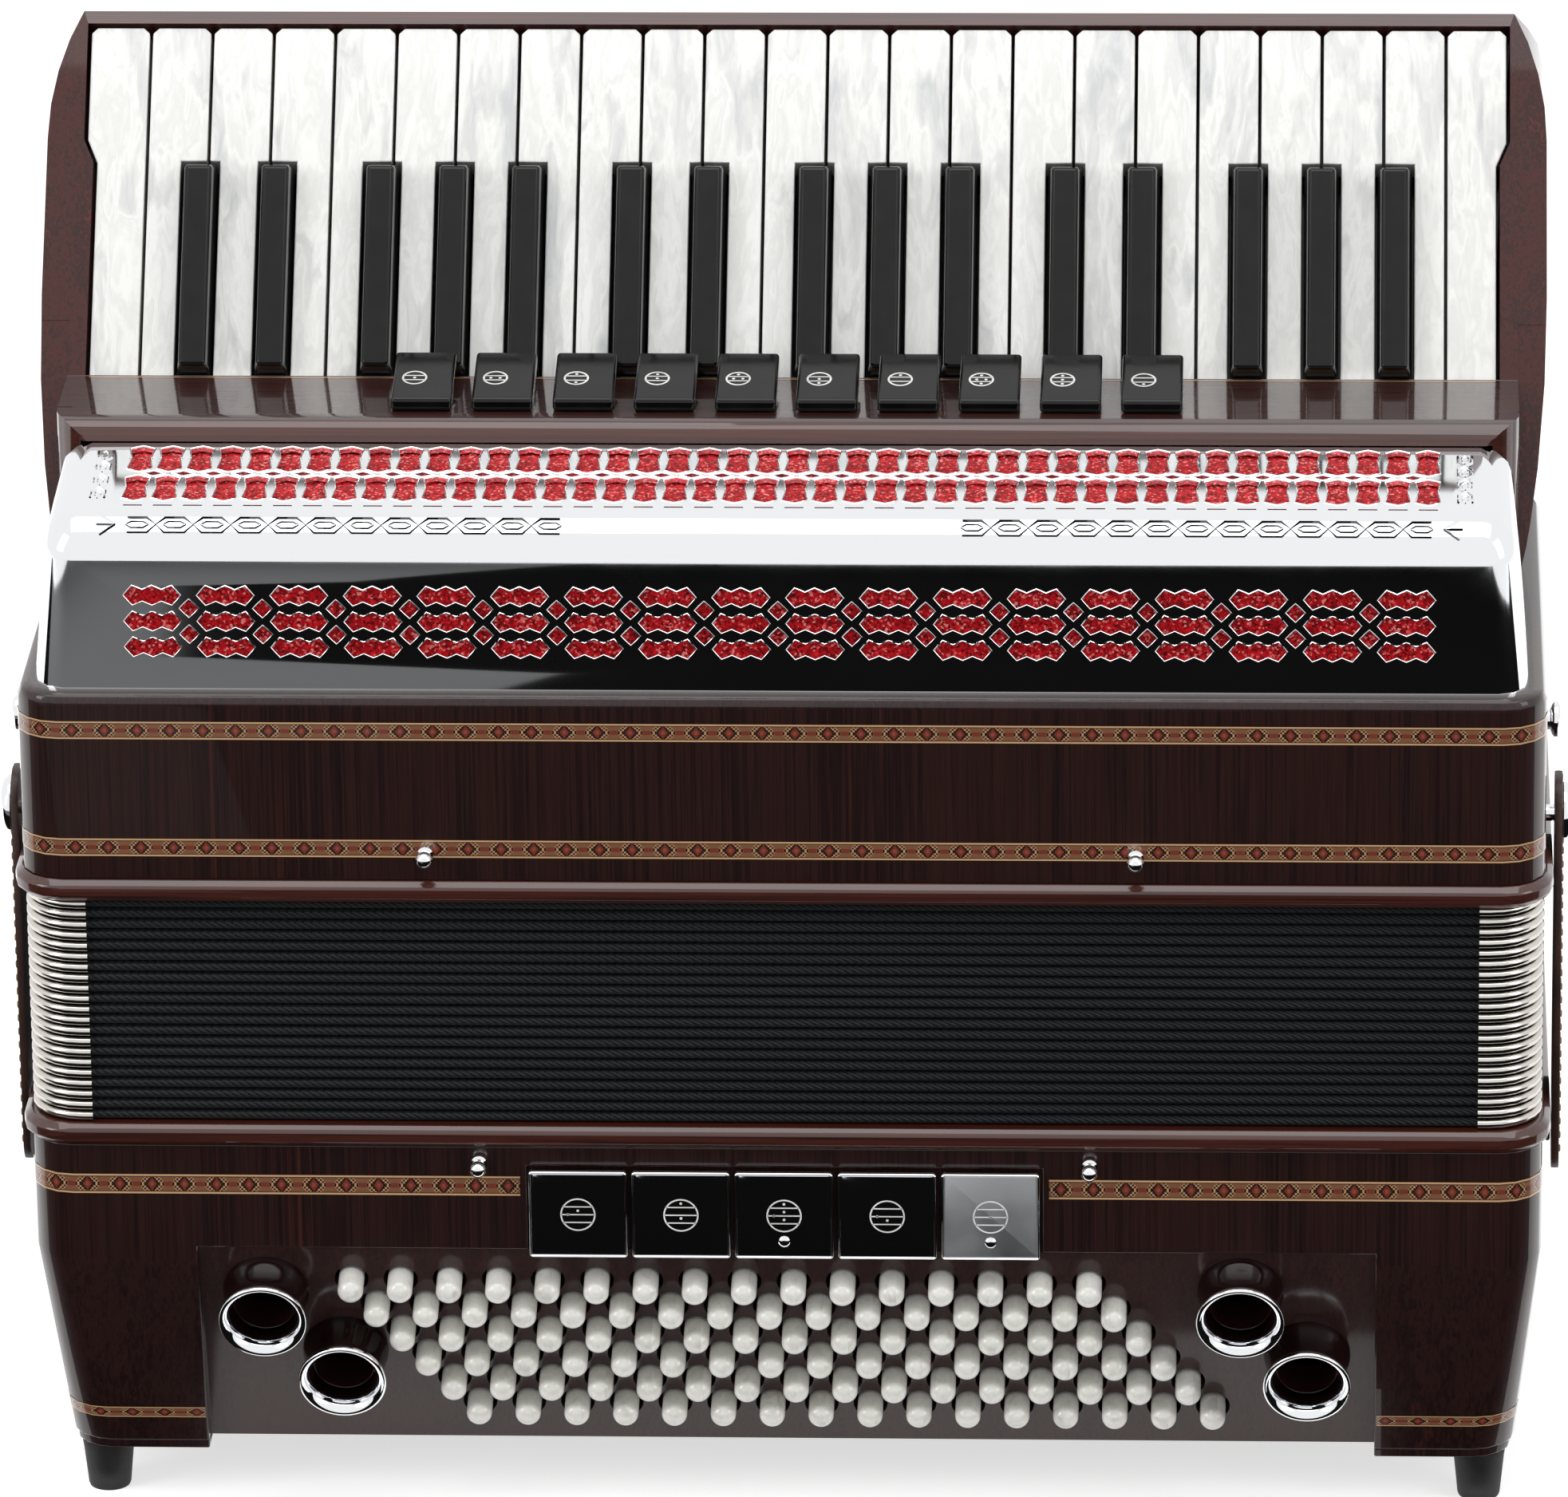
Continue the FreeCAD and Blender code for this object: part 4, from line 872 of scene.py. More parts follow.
for side in (-1, 1):
    sideways = Vector((side, 0, 0))
    treble_metal.append(turned(stud_profile, at(side * casing_half, strap_depth, stud_z), sideways, 40))
    treble_metal.append(turned(knob_profile, at(side * casing_half, strap_depth, knob_z), sideways, 32))
    bass_metal.append(turned(catch_profile, at(side * casing_half, strap_depth, catch_z), sideways, 28))
    for depth, facing in ((0.0, Vector((0, -1, 0))), (casing_depth, Vector((0, 1, 0)))):
        treble_metal.append(turned(pin_profile, at(side * treble_pin_side, depth, treble_pin_z), facing, 28))
        bass_metal.append(turned(pin_profile, at(side * bass_pin_side, depth, bass_pin_z), facing, 28))
treble_pins = make_piece("treble_pins_and_studs", treble_metal, chrome, 40.0)
belongs(treble_pins, "treble_side", "chrome", "treble_fittings")
bass_pins = make_piece("bass_pins_and_catches", bass_metal, chrome, 40.0)
belongs(bass_pins, "bass_side", "chrome", "bass_fittings")
print("treble and bass fittings:", len(treble_metal), len(bass_metal))

# %% [markdown]
# ## Keys
# Every key keeps its CAD shape with eased edges, because its cut-outs for the black keys are already right.
# Doing this in a loop over the node names dresses all of them the same way, and each still moves by itself.

# %% White and black keys
white_nodes = sorted(name for name in nodes if name.startswith("white_key_"))
black_nodes = sorted(name for name in nodes if name.startswith("black_keys_"))
for name in white_nodes:
    eased_copy(name, white_pearl, 0.45, 3)
for name in black_nodes:
    eased_copy(name, black_gloss, 1.1, 3)
print("keys dressed:", len(white_nodes), "white and", len(black_nodes), "groups of black")

# %% [markdown]
# ## Register switches
# Ten black tabs stand on the shelf. Each carries the usual sign for a choice of reeds: a circle, two lines
# and a few dots. The signs are thin printed shapes on the sloping face, drawn by one short helper, which also
# draws the larger signs on the bass register plates.

# %% Signs for reeds
def reed_sign(place, radius, ring, line, levels, dots, dot_radius):
    """A circle cut by lines at some levels, with dots for the sounding reeds, all as shares of its radius."""
    rims = [circle(0.0, 0.0, radius + side * ring / 2.0, 32) for side in (-1, 1)]
    chunks = [skin([[place(*spot) for spot in rim] for rim in rims], closed=True)]
    for level in levels:
        half, v = radius * math.sqrt(1.0 - level * level), level * radius
        chunks.append(skin([[place(u, v + side * line / 2.0) for u in (-half, half)] for side in (-1, 1)]))
    for across, level in dots:
        rim = circle(across * radius, level * radius, dot_radius, 16)
        chunks.append(([place(*spot) for spot in rim], [tuple(range(len(rim)))]))
    return chunks


print("reed signs ready")

# %% Switches and their signs
switch_front, switch_length, switch_pitch = 70.5, 26.5, 24.4
switch_low, switch_high, switch_back = 4.2, 10.2, 0.3
switch_lean = math.atan2(switch_high - switch_low, switch_length - switch_back)
sign_across, sign_up = -2.6, -1.6


def switch_surface(number):
    """Maps flat places round the middle of a switch's sign to points on its sloping face."""
    def place(u, v):
        """A point u across and v up the face."""
        along = switch_length / 2.0 + (v + sign_up) * math.cos(switch_lean)
        z = shelf_z + switch_low + along * math.tan(switch_lean)
        return at((number - 4.5) * switch_pitch + u + sign_across, switch_front + along, z)
    return place


left, middle, right, top, bottom = (-0.4, 0.0), (0.0, 0.0), (0.4, 0.0), (0.0, 0.66), (0.0, -0.66)
switch_dots = [[middle], [left, right], [top, bottom], [middle, top], [left, right, top], [middle, bottom],
               [top], [left, top, right, bottom], [top, middle, bottom], [bottom]]
for number, dots in enumerate(switch_dots):
    name = "register_switch_" + str(number + 1).zfill(2)
    eased_copy(name, black_gloss, 1.1, 4)
    chunks = reed_sign(switch_surface(number), 3.5, 0.62, 0.5, (-0.34, 0.34), dots, 0.5)
    belongs(make_piece(name + "_sign", chunks, white_ink), name, "pearl_white")
print("switches:", len(switch_dots))

# %% [markdown]
# ## Bass register plates
# Five plates stand in front of the bass casing. Each is a chromed tray with a raised rim and a polished dark
# face, and the last one is satin steel. The rim is a stack of rounded rectangles, so the light runs round it
# in a thin line. Two of the plates carry a small metal stud, by which fingers find them.

# %% Register plates
plate_pitch, plate_width, plate_height, plate_depth = 31.1, 29.7, 28.1, -1.8
plate_middle_z = panel_top - 0.8 + plate_height / 2.0
rim_steps = [(0.25, 0.0), (0.0, 0.25), (0.0, 1.9), (0.15, 2.25), (0.4, 2.4), (0.65, 2.3), (0.8, 2.05),
             (0.85, 1.7)]
face_steps = [(0.8, 1.5), (0.85, 1.95), (1.1, 2.05)]
sign_height, stud_drop = 2.1, -8.4
gem_profile = [(1.75, 1.9), (1.75, 2.3), (1.3, 2.75), (0.6, 2.95)]
plate_dots = [[(0, 0.25), (-0.6, 0)], [(0, 0.75), (0, -0.2)], [(0, 0.75), (0, 0.25), (-0.6, 0), (0, -0.25)],
              [(0, -0.25), (-0.6, 0)], [(0, 0)]]


def rounded_outline(half_u, half_v, radius, count=6):
    """Points round a rectangle with rounded corners."""
    points = []
    for quarter, (side_u, side_v) in enumerate([(1, 1), (-1, 1), (-1, -1), (1, -1)]):
        for step in range(count + 1):
            angle = (quarter + step / count) * math.pi / 2.0
            points.append((side_u * (half_u - radius) + radius * math.cos(angle),
                           side_v * (half_v - radius) + radius * math.sin(angle)))
    return points


def stacked(steps, place, corner, least_corner):
    """A plate as a stack of its outline at several insets and heights, closed at both ends."""
    half_u, half_v = plate_width / 2.0, plate_height / 2.0
    return skin([[place(u, v, height) for u, v in
                  rounded_outline(half_u - inset, half_v - inset, max(least_corner, corner - inset))]
                 for inset, height in steps], closed=True, caps=True)


def plate_place(number, raised=0.0):
    """Maps flat places to points on a register plate: u across, v up, height out to the front."""
    def place(u, v, height=0.0):
        """A point of this plate."""
        return at((number - 2) * plate_pitch + u, plate_depth - height - raised, plate_middle_z + v)
    return place


rim_chunks, face_chunks, sign_chunks, gem_chunks = [], [], [], []
for number, dots in enumerate(plate_dots):
    place = plate_place(number)
    rim_chunks.append(stacked(rim_steps, place, 1.1, 0.3))
    face_chunks.append(stacked(face_steps, place, 0.4, 0.4))
    shank = rounded_outline(4.0, 4.0, 0.5, 2)
    rim_chunks.append(skin([[place(u, v, height) for u, v in shank] for height in (0.2, -12.0)],
                           closed=True, caps=True))
    sign_chunks += reed_sign(plate_place(number, sign_height), 5.1, 0.46, 0.38, (-0.5, 0.0, 0.5), dots, 0.42)
    if number in (2, 4):
        gem_chunks.append(turned(gem_profile, place(0.0, stud_drop), Vector((0, -1, 0)), 16))
rims = make_piece("register_plate_rims", rim_chunks, chrome, 50.0)
belongs(rims, "bass_registers", "chrome", "bass_registers")
for name, chunks, finish, sharp in (("faces", face_chunks[:4], dark_chrome, 50.0),
                                    ("satin", face_chunks[4:], tab_steel, 50.0),
                                    ("gems", gem_chunks, chrome, 40.0),
                                    ("signs", sign_chunks, white_ink, 35.0)):
    belongs(make_piece("register_plate_" + name, chunks, finish, sharp), "bass_registers", "chrome")
print("register plates:", len(face_chunks))

# %% [markdown]
# ## The bellows
# The bellows is a tube of card and cloth, pleated like a paper fan. Each fold is drawn as a rounded ridge
# with straight flanks down to a narrow valley. When it opens, ridges and valleys must keep their shape and
# only the flanks swing: the blend weights do that, one weight for a whole ridge. A simulated cloth would lose
# the pleats.

# %% Bellows cloth
fold_count, fold_inset, fold_depth, fold_corner, corner_flats = 21, 1.6, 11.0, 15.0, 6
fold_pitch = (bellows_high - bellows_low) / fold_count
ridge = [(-1.35, 1.6), (-1.15, 0.75), (-0.7, 0.2), (0.0, 0.0), (0.7, 0.2), (1.15, 0.75), (1.35, 1.6)]


def running_length(spots):
    """How far along a path each of its places is."""
    runs = [0.0]
    for before, after in zip(spots, spots[1:]):
        runs.append(runs[-1] + math.dist(before, after))
    return runs


def bellows_outline(inset):
    """Places round the bellows at an inset, from its front right corner back to the first."""
    spots = rounded_outline(casing_half - inset, casing_depth / 2.0 - inset, fold_corner, corner_flats)
    spots = [(x, casing_depth / 2.0 + depth) for x, depth in spots]
    return spots[-corner_flats - 1:] + spots[:-corner_flats]


def fold_rows():
    """Insets and heights up the bellows, each with its weight and its place across the cloth."""
    valley = fold_inset + fold_depth
    rows = [(valley, 0.0, 0.0, 0.0)]
    for fold in range(fold_count):
        for rise, inward in ridge:
            rows.append((fold_inset + inward, (fold + 0.5) * fold_pitch + rise, (fold + 0.5) / fold_count,
                         rise * 1.9))
        rows.append((valley, (fold + 1.0) * fold_pitch, (fold + 1.0) / fold_count, 0.0))
    return rows


def follows_bellows(piece, weights, stands_for):
    """Lets each point of a piece follow the opening bellows by its own weight."""
    low_end, high_end = (0, 0, folds_low_corner.z), (0, 0, folds_high_corner.z)
    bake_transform(piece, "bass_side", "treble_side", start=low_end, end=high_end)
    piece.data.attributes["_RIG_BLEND"].data.foreach_set("value", weights)
    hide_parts(stands_for)


outline_runs = running_length(bellows_outline(fold_inset))
cloth_rows = [[at(x, depth, bellows_low + rise) for x, depth in bellows_outline(inset)]
              for inset, rise, weight, across in fold_rows()]
cloth_uv = [(run * MM, across * MM) for inset, rise, weight, across in fold_rows() for run in outline_runs]
cloth_weights = [weight for inset, rise, weight, across in fold_rows() for run in outline_runs]
folds = make_piece("pleated_cloth", [skin(cloth_rows)], bellows_cloth, 60.0, uv=cloth_uv)
follows_bellows(folds, cloth_weights, "bellows_folds")
print("fold rows:", len(cloth_rows))

# %% [markdown]
# ### Metal corners
# A bent metal clip guards every fold at each of the four corners. Each clip is a half-round bar that follows
# the round corner and laps a little on to the straight sides. It takes one blend weight and rides its fold.

# %% Bellows corner clips
clip_half, clip_swell, clip_lap, clip_gap = 1.45, 1.5, 3.0, 0.1
clip_section = [(math.sin(math.radians(a)) * clip_half, math.cos(math.radians(a)) * clip_swell + clip_gap)
                for a in range(-112, 113, 28)]


def corner_path(side, end):
    """Places and outward directions along one corner, from the front or back run round to the side run."""
    half = casing_half - fold_inset
    edge = fold_inset if end < 0 else casing_depth - fold_inset
    path = [(half - fold_corner - clip_lap, 0.0, 0.0, 1.0)]
    for step in range(corner_flats + 1):
        turn = math.pi / 2.0 * step / corner_flats
        out_x, out_y = math.sin(turn), math.cos(turn)
        path.append((half + fold_corner * (out_x - 1.0), fold_corner * (1.0 - out_y), out_x, out_y))
    path.append((half, fold_corner + clip_lap, 1.0, 0.0))
    return [(side * x, edge - end * inward, side * out_x, end * out_y) for x, inward, out_x, out_y in path]


clip_chunks, clip_weights = [], []
for side, end in ((-1, -1), (-1, 1), (1, -1), (1, 1)):
    for fold in range(fold_count):
        middle_z = bellows_low + (fold + 0.5) * fold_pitch
        rows = [[at(x + out_x * swell, depth + out_y * swell, middle_z + up) for up, swell in clip_section]
                for x, depth, out_x, out_y in corner_path(side, end)]
        points, faces = skin(rows, caps=True)
        clip_chunks.append((points, faces if side * end > 0 else [tuple(reversed(face)) for face in faces]))
        clip_weights += [(fold + 0.5) / fold_count] * len(points)
clips = make_piece("bellows_corner_clips", clip_chunks, clip_steel, 50.0)
follows_bellows(clips, clip_weights, "bellows_corners")
print("corner clips:", len(clip_chunks))

# %% [markdown]
# ## Inlay bands
# Strips of coloured veneer run round the casing. Each strip here is a ribbon a tenth of a millimetre above
# the lacquer, with a wrap map that unrolls it. Painting the pattern on the casing by height would be simpler,
# but it would smear round the corners.

# %% Inlay bands
everywhere, band_stand, band_last = 1e3, 0.12, casing_depth - 14.0
foot_draw_side, foot_draw_front, casing_corner, casing_flats = 7.5, 17.0, 13.0, 4
plate_gap, foot_gap = 2.5 * plate_pitch + 2.0, 178.6


def casing_outline(z):
    """The casing's outline from side to side round the front, at a height: it is drawn in near the feet."""
    drawn = max(0.0, (bass_bend - z) / (bass_bend - bass_low))
    half, front = casing_half - foot_draw_side * drawn, foot_draw_front * drawn
    reach = casing_corner + band_stand
    arc = [(half + band_stand, band_last)]
    for step in range(casing_flats + 1):
        turn = math.pi / 2.0 * step / casing_flats
        x, depth = half - casing_corner, front + casing_corner
        arc.append((x + reach * math.cos(turn), depth - reach * math.sin(turn)))
    return [(-x, depth) for x, depth in arc] + list(reversed(arc))


def inlay_band(name, z_low, z_high, body, gap=0.0):
    """A band between two heights round the front and the sides of the casing, perhaps with a gap in front."""
    lower_spots, upper_spots = casing_outline(z_low), casing_outline(z_high)
    runs = running_length(lower_spots)
    front_low, front_high = (spots[len(spots) // 2][1] for spots in (lower_spots, upper_spots))
    chunks, uv = [], []
    for low, high in ((-everywhere, -gap), (gap, everywhere)) if gap else ((-everywhere, everywhere),):
        inside = [(a, b, run - runs[-1] / 2.0) for a, b, run in zip(lower_spots, upper_spots, runs)
                  if low <= a[0] <= high]
        if low == gap:
            inside.insert(0, ((low, front_low), (low, front_high), low))
        if high == -gap:
            inside.append(((high, front_low), (high, front_high), high))
        rows = [[at(*a, z_low) for a, b, run in inside], [at(*b, z_high) for a, b, run in inside]]
        chunks.append(skin(rows))
        uv += [(run * MM, v) for v in (0.0, 1.0) for a, b, run in inside]
    return belongs(make_piece(name, chunks, inlay, 30.0, uv=uv), body, "lacquer")


bands = [inlay_band("inlay_upper", 255.3, 260.9, "treble_side"),
         inlay_band("inlay_lower", 217.9, 223.5, "treble_side"),
         inlay_band("inlay_bass", 108.4, 114.7, "bass_side", plate_gap),
         inlay_band("inlay_foot", 27.8, 31.5, "bass_side", foot_gap)]
line_side, line_start, line_width, line_stand = 213.0, 101.0, 0.8, 0.06
line_rows = [[at(x, depth, shelf_z + line_stand) for x in (-line_side, line_side)]
             for depth in (line_start, line_start + line_width)]
belongs(make_piece("inlay_shelf_line", [skin(line_rows)], plain_inlay), "treble_side", "lacquer")
print("bands:", [band.name for band in bands])

# %% [markdown]
# ## The chrome grille
# The grille is one bent sheet, pierced with three-lobed slots and small diamonds in front, and a double row
# of waisted openings on top. The front keeps its CAD shape. The top has larger openings than the CAD sheet,
# so a window is cut there and a new pierced board laid in. Around every opening runs a raised bead that
# catches the light, which is what makes such a grille sparkle.

# %% Grille surfaces
front_rise, front_draw, grille_set = 39.5, 2.5, 5.0
bend_radius, top_slope = 14.0, math.radians(8.0)
face_lean = math.atan2(front_draw, front_rise)
bend_depth = grille_set + front_draw + bend_radius * math.cos(face_lean)
bend_z = treble_top + front_rise - bend_radius * math.sin(face_lean)
bend_last = math.pi / 2.0 - top_slope
top_start = bend_depth - bend_radius * math.cos(bend_last)
top_start_z = bend_z + bend_radius * math.sin(bend_last)


def grille_front(u, v, h=0.0):
    """The front face: across and height to a point, h out of the sheet."""
    depth = grille_set + (v - treble_top) * math.tan(face_lean)
    return at(u, depth - h * math.cos(face_lean), v + h * math.sin(face_lean))


def grille_top(u, v, h=0.0):
    """The upper face: across and depth to a point."""
    z = top_start_z + (v - top_start) * math.tan(top_slope)
    return at(u, v - h * math.sin(top_slope), z + h * math.cos(top_slope))


def grille_bend(u, v, h=0.0):
    """The bend: across, and millimetres round it from its middle, to a point."""
    turn = math.radians(50.0) + v / bend_radius
    radius = bend_radius + h
    return at(u, bend_depth - radius * math.cos(turn), bend_z + radius * math.sin(turn))


print("top of the grille starts at depth", round(top_start, 2))

# %% Outlines of the openings
rim_section = ((-0.05, -0.15), (0.06, 0.208), (0.21, 0.26), (0.42, -0.02))


def both_halves(half_shape):
    """A whole outline from one half and its half turn."""
    return half_shape + [(-across, -up) for across, up in half_shape]


lozenge_shape = both_halves([(-1.0, 0.0), (-0.7, -1.0), (-0.34, -0.55), (0.0, -1.0), (0.34, -0.55),
                             (0.7, -1.0)])
diamond_shape = both_halves([(-1.0, 0.0), (0.0, -1.0)])
barrel_shape = both_halves([(-1.0, -0.82), (0.0, -1.0), (1.0, -0.82), (0.76, -0.09), (0.9, 0.0),
                            (0.76, 0.09)])


def placed(shape, u, v, half_u, half_v):
    """A shape at its place and size."""
    return [(u + half_u * a, v + half_v * b) for a, b in shape]


def rim_bead(outline, surface):
    """A raised bead round an opening, with a point more on each side so that it follows the surface."""
    fine = []
    for (u1, v1), (u2, v2) in zip(outline, outline[1:] + outline[:1]):
        fine += [(u1, v1), ((u1 + u2) / 2.0, (v1 + v2) / 2.0)]
    return bead(fine, surface, rim_section, closed=True)


print("corners of the shapes:", len(lozenge_shape), len(diamond_shape), len(barrel_shape))

# %% Grille sheet and its beads
pattern_half, lozenge_half, barrel_half = 194.5, 8.4, 3.6
column_pitch, row_step = 2.0 * (pattern_half - lozenge_half) / 17, 8.0
row_middle = treble_top + front_rise * 0.53
front_outlines = []
for column in range(18):
    x = (column - 8.5) * column_pitch
    for row in (-1, 0, 1):
        front_outlines.append(placed(lozenge_shape, x, row_middle + row * row_step, lozenge_half, 2.9))
    for row in (-0.5, 0.5) if column < 17 else ():
        z = row_middle + row * row_step
        front_outlines.append(placed(diamond_shape, x + column_pitch / 2.0, z, 2.7, 2.7))
barrel_pitch, barrel_rows = 2.0 * (pattern_half - 2.1) / 43, (31.2, 49.6)
top_outlines = []
for number in range(44):
    x = (number - 21.5) * barrel_pitch
    top_outlines += [placed(barrel_shape, x, depth, barrel_half, 7.9) for depth in barrel_rows]
    if number < 43:
        top_outlines.append(placed(diamond_shape, x + barrel_pitch / 2.0, sum(barrel_rows) / 2.0, 3.3, 1.5))
top_low, top_high, top_side, top_thickness = 20.6, 58.9, 198.6, 1.6
window_outline = [(top_low, 312.0), (top_high, 317.0), (top_high, 336.0), (top_low, 331.0)]
window = cutter("window", window_outline, -top_side, top_side, upright=False)
eased_copy("grille", chrome, 0.0, tools=[window])
top_outline = rectangle(-top_side, top_side, top_low, top_high)
top_board = holed_board("grille_pierced_top", [top_outline] + top_outlines, top_thickness, grille_top, chrome)
belongs(top_board, "treble_side", "chrome")
bead_chunks = [rim_bead(outline, grille_front) for outline in front_outlines]
bead_chunks += [rim_bead(outline, grille_top) for outline in top_outlines]
belongs(make_piece("grille_beads", bead_chunks, chrome, 60.0), "treble_side", "chrome")
print("openings with beads:", len(bead_chunks))

# %% [markdown]
# ### Raised chain ornament
# A chain of stretched links runs along the bend on both sides of a bare middle, and down the two short sides
# of the top. Two strands cross between the links, and each link holds a smaller one. They are beads too.

# %% Chain ornament
side_chain = 203.4


def ridge_section(half, height):
    """The section of a thin ridge."""
    return ((-half, -0.02), (0.0, height), (half, -0.02))


def chain(first, last, links, half, surface):
    """Two crossing strands with a small link inside each loop, between two places along a surface."""
    pitch = (last - first) / links
    strands, chunks = [[], []], []
    for link in range(links):
        middle = first + (link + 0.5) * pitch
        inner = [(middle + share * pitch, rise * half) for share, rise in
                 ((-0.30, 0.0), (-0.16, 0.42), (0.16, 0.42), (0.30, 0.0))]
        for way in (1.0, -1.0):
            chunks.append(bead([(u, way * v) for u, v in inner], surface, ridge_section(0.32, 0.34)))
            aside = way * half if link % 2 == 0 else -way * half
            strands[int(way < 0)] += [(middle + share * pitch, aside) for share in (-0.26, 0.26)]
    return chunks + [bead(strand, surface, ridge_section(0.42, 0.5)) for strand in strands]


def fan(x, way, surface):
    """Three short strokes where a chain ends."""
    return [bead([(x, 0.0), (x + way * reach, rise)], surface, ridge_section(0.48, 0.5))
            for reach, rise in ((4.6, 3.4), (5.6, 0.0), (4.6, -3.4))]


def short_side(side):
    """Maps places along a short side of the grille's top, and across it, to points."""
    return lambda along, across, h=0.0: grille_top(side * (side_chain + across), along, h)


chain_chunks = chain(-196.0, -62.0, 12, 2.5, grille_bend) + chain(52.0, 196.0, 13, 2.5, grille_bend)
chain_chunks += fan(-197.0, -1, grille_bend) + fan(197.0, 1, grille_bend)
for side in (-1, 1):
    chain_chunks += chain(23.0, 56.0, 4, 2.1, short_side(side))
belongs(make_piece("grille_chain", chain_chunks, chrome, 60.0), "treble_side", "chrome")
print("ornament strokes:", len(chain_chunks))

# %% [markdown]
# ### Cloth behind the grille
# The red glitter cloth is one sheet, glued behind the pierced metal. It follows the same profile a little
# further in, so it is drawn as rows along that profile, and the length of that run is worked out.

# %% Glitter cloth
cloth_set, cloth_half, cloth_back = 2.1, 200.5, 59.5
cloth_radius = bend_radius - cloth_set
profile = [(grille_set + cloth_set, treble_top + 6.0),
           (grille_set + front_draw + cloth_set, treble_top + front_rise)]
for step in range(1, 7):
    turn = face_lean + (bend_last - face_lean) * step / 6
    profile.append((bend_depth - cloth_radius * math.cos(turn), bend_z + cloth_radius * math.sin(turn)))
profile.append((cloth_back, profile[-1][1] + (cloth_back - profile[-1][0]) * math.tan(top_slope)))
cloth_run = running_length(profile)[-1]
rows = [[at(cloth_half * share, depth, z) for share in (-1.0, -0.5, 0.0, 0.5, 1.0)] for depth, z in profile]
cloth = make_piece("glitter_cloth", [skin(rows)], red_glitter, 60.0)
belongs(cloth, "treble_side", "red_cloth", "grille_cloth")
print("cloth run in mm:", round(cloth_run, 1))

# %% [markdown]
# ## Leather
# Two straps hold the bellows shut: each is buttoned on the treble stud and hangs down past the bellows. The
# hand strap bows under the bass end plate. Both are thick leather with rounded edges, and the bellows straps
# have a line of stitches along each edge.

# %% Leather straps
def leather_band(path, across, width, thickness, bulge):
    """A strap along a path of points with normals; across is its width direction."""
    half, skin_up = width / 2.0, thickness / 2.0
    shoulder = skin_up + bulge * 0.3
    section = [(-half, 0.0), (-half + 0.5, skin_up), (-half + 1.4, shoulder), (0.0, skin_up + bulge),
               (half - 1.4, shoulder), (half - 0.5, skin_up), (half, 0.0), (half - 0.5, -skin_up),
               (0.0, -skin_up), (-half + 0.5, -skin_up)]
    rows = [[point + across * (u * share * MM) + normal * (v * MM) for u, v in section]
            for point, normal, share in path]
    return skin(rows, closed=True, caps=True)


frame_lip, strap_middle, strap_width, strap_thickness = 3.0, 1.2, 20.0, 2.2
stitch_height, stitch_side, stitch_margin, stitch_count = 2.55, 7.6, 8.0, 26
strap_low, strap_high = catch_z - 12.0, stud_z + 12.0
tip = [(0.0, 0.42), (1.2, 0.66), (3.2, 0.86), (6.0, 1.0)]
strap_places = [(strap_low + rise, share) for rise, share in tip]
strap_places += [(strap_high - rise, share) for rise, share in reversed(tip)]
stitch_profile = [(0.12, -1.2), (0.34, -0.8), (0.36, 0.0), (0.34, 0.8), (0.12, 1.2)]
strap_chunks, stitch_chunks = [], []
for side in (-1, 1):
    outside = side * (casing_half + frame_lip)
    path = [(at(outside + side * strap_middle, strap_depth, z), Vector((side, 0, 0)), share)
            for z, share in strap_places]
    strap_chunks.append(leather_band(path, Vector((0, -side, 0)), strap_width, strap_thickness, 0.25))
    for edge in (-stitch_side, stitch_side):
        for stitch in range(stitch_count):
            run = strap_high - strap_low - 2.0 * stitch_margin
            z = strap_low + stitch_margin + run * stitch / (stitch_count - 1)
            centre = at(outside + side * stitch_height, strap_depth + edge, z)
            stitch_chunks.append(turned(stitch_profile, centre, Vector((0, 0, 1)), 6))
straps = make_piece("bellows_strap_leather", strap_chunks, strap_leather, 50.0)
belongs(straps, "treble_side", "brown_leather", "bellows_straps")
stitches = make_piece("bellows_strap_stitches", stitch_chunks, stitch_thread, 60.0)
belongs(stitches, "treble_side", "brown_leather")
print("straps:", len(strap_chunks), "stitches:", len(stitch_chunks))

# %% Hand strap
hand_reach, hand_drop, hand_depth, hand_high = 198.0, 8.6, 122.0, 14.2
hand_width, hand_thickness = 72.0, 2.6
hand_path = []
for step in range(33):
    share = step / 16.0 - 1.0
    slope = math.atan2(2.0 * hand_drop * share, hand_reach)
    spot = at(hand_reach * share, hand_depth, hand_high - hand_drop * (1.0 - share * share))
    hand_path.append((spot, Vector((math.sin(slope), 0, -math.cos(slope))), 1.0))
hand_chunk = leather_band(hand_path, Vector((0, 1, 0)), hand_width, hand_thickness, 0.3)
hand_strap = make_piece("hand_strap_leather", [hand_chunk], strap_leather, 50.0)
belongs(hand_strap, "bass_side", "brown_leather", "bass_strap")
print("hand strap faces:", len(hand_strap.data.polygons))

# %% [markdown]
# ## What stays as the CAD made it
# The key axle and the reed blocks are hidden or plain, and their CAD shape is already the real one. They only
# get their finish.

# %% Finishes for carried-over nodes
for name, finish in (("key_axle", steel), ("treble_reed_blocks", reed_spruce)):
    nodes[name].data.materials.clear()
    nodes[name].data.materials.append(finish)
    print("kept:", name)

# %% [markdown]
# ## Studio
# A pale floor runs far behind the instrument. To the camera and to shiny surfaces it glows a little, so the
# background is clean while the shadow still shows. A dark card and a grey one lie on the floor in front of
# the picture, where only mirrors see them: chrome and lacquer that face forward get their depth from them.
# Their slanted border is the pale wedge at the left of the grille's front.

# %% Floor and cards
glow_strength = 0.65


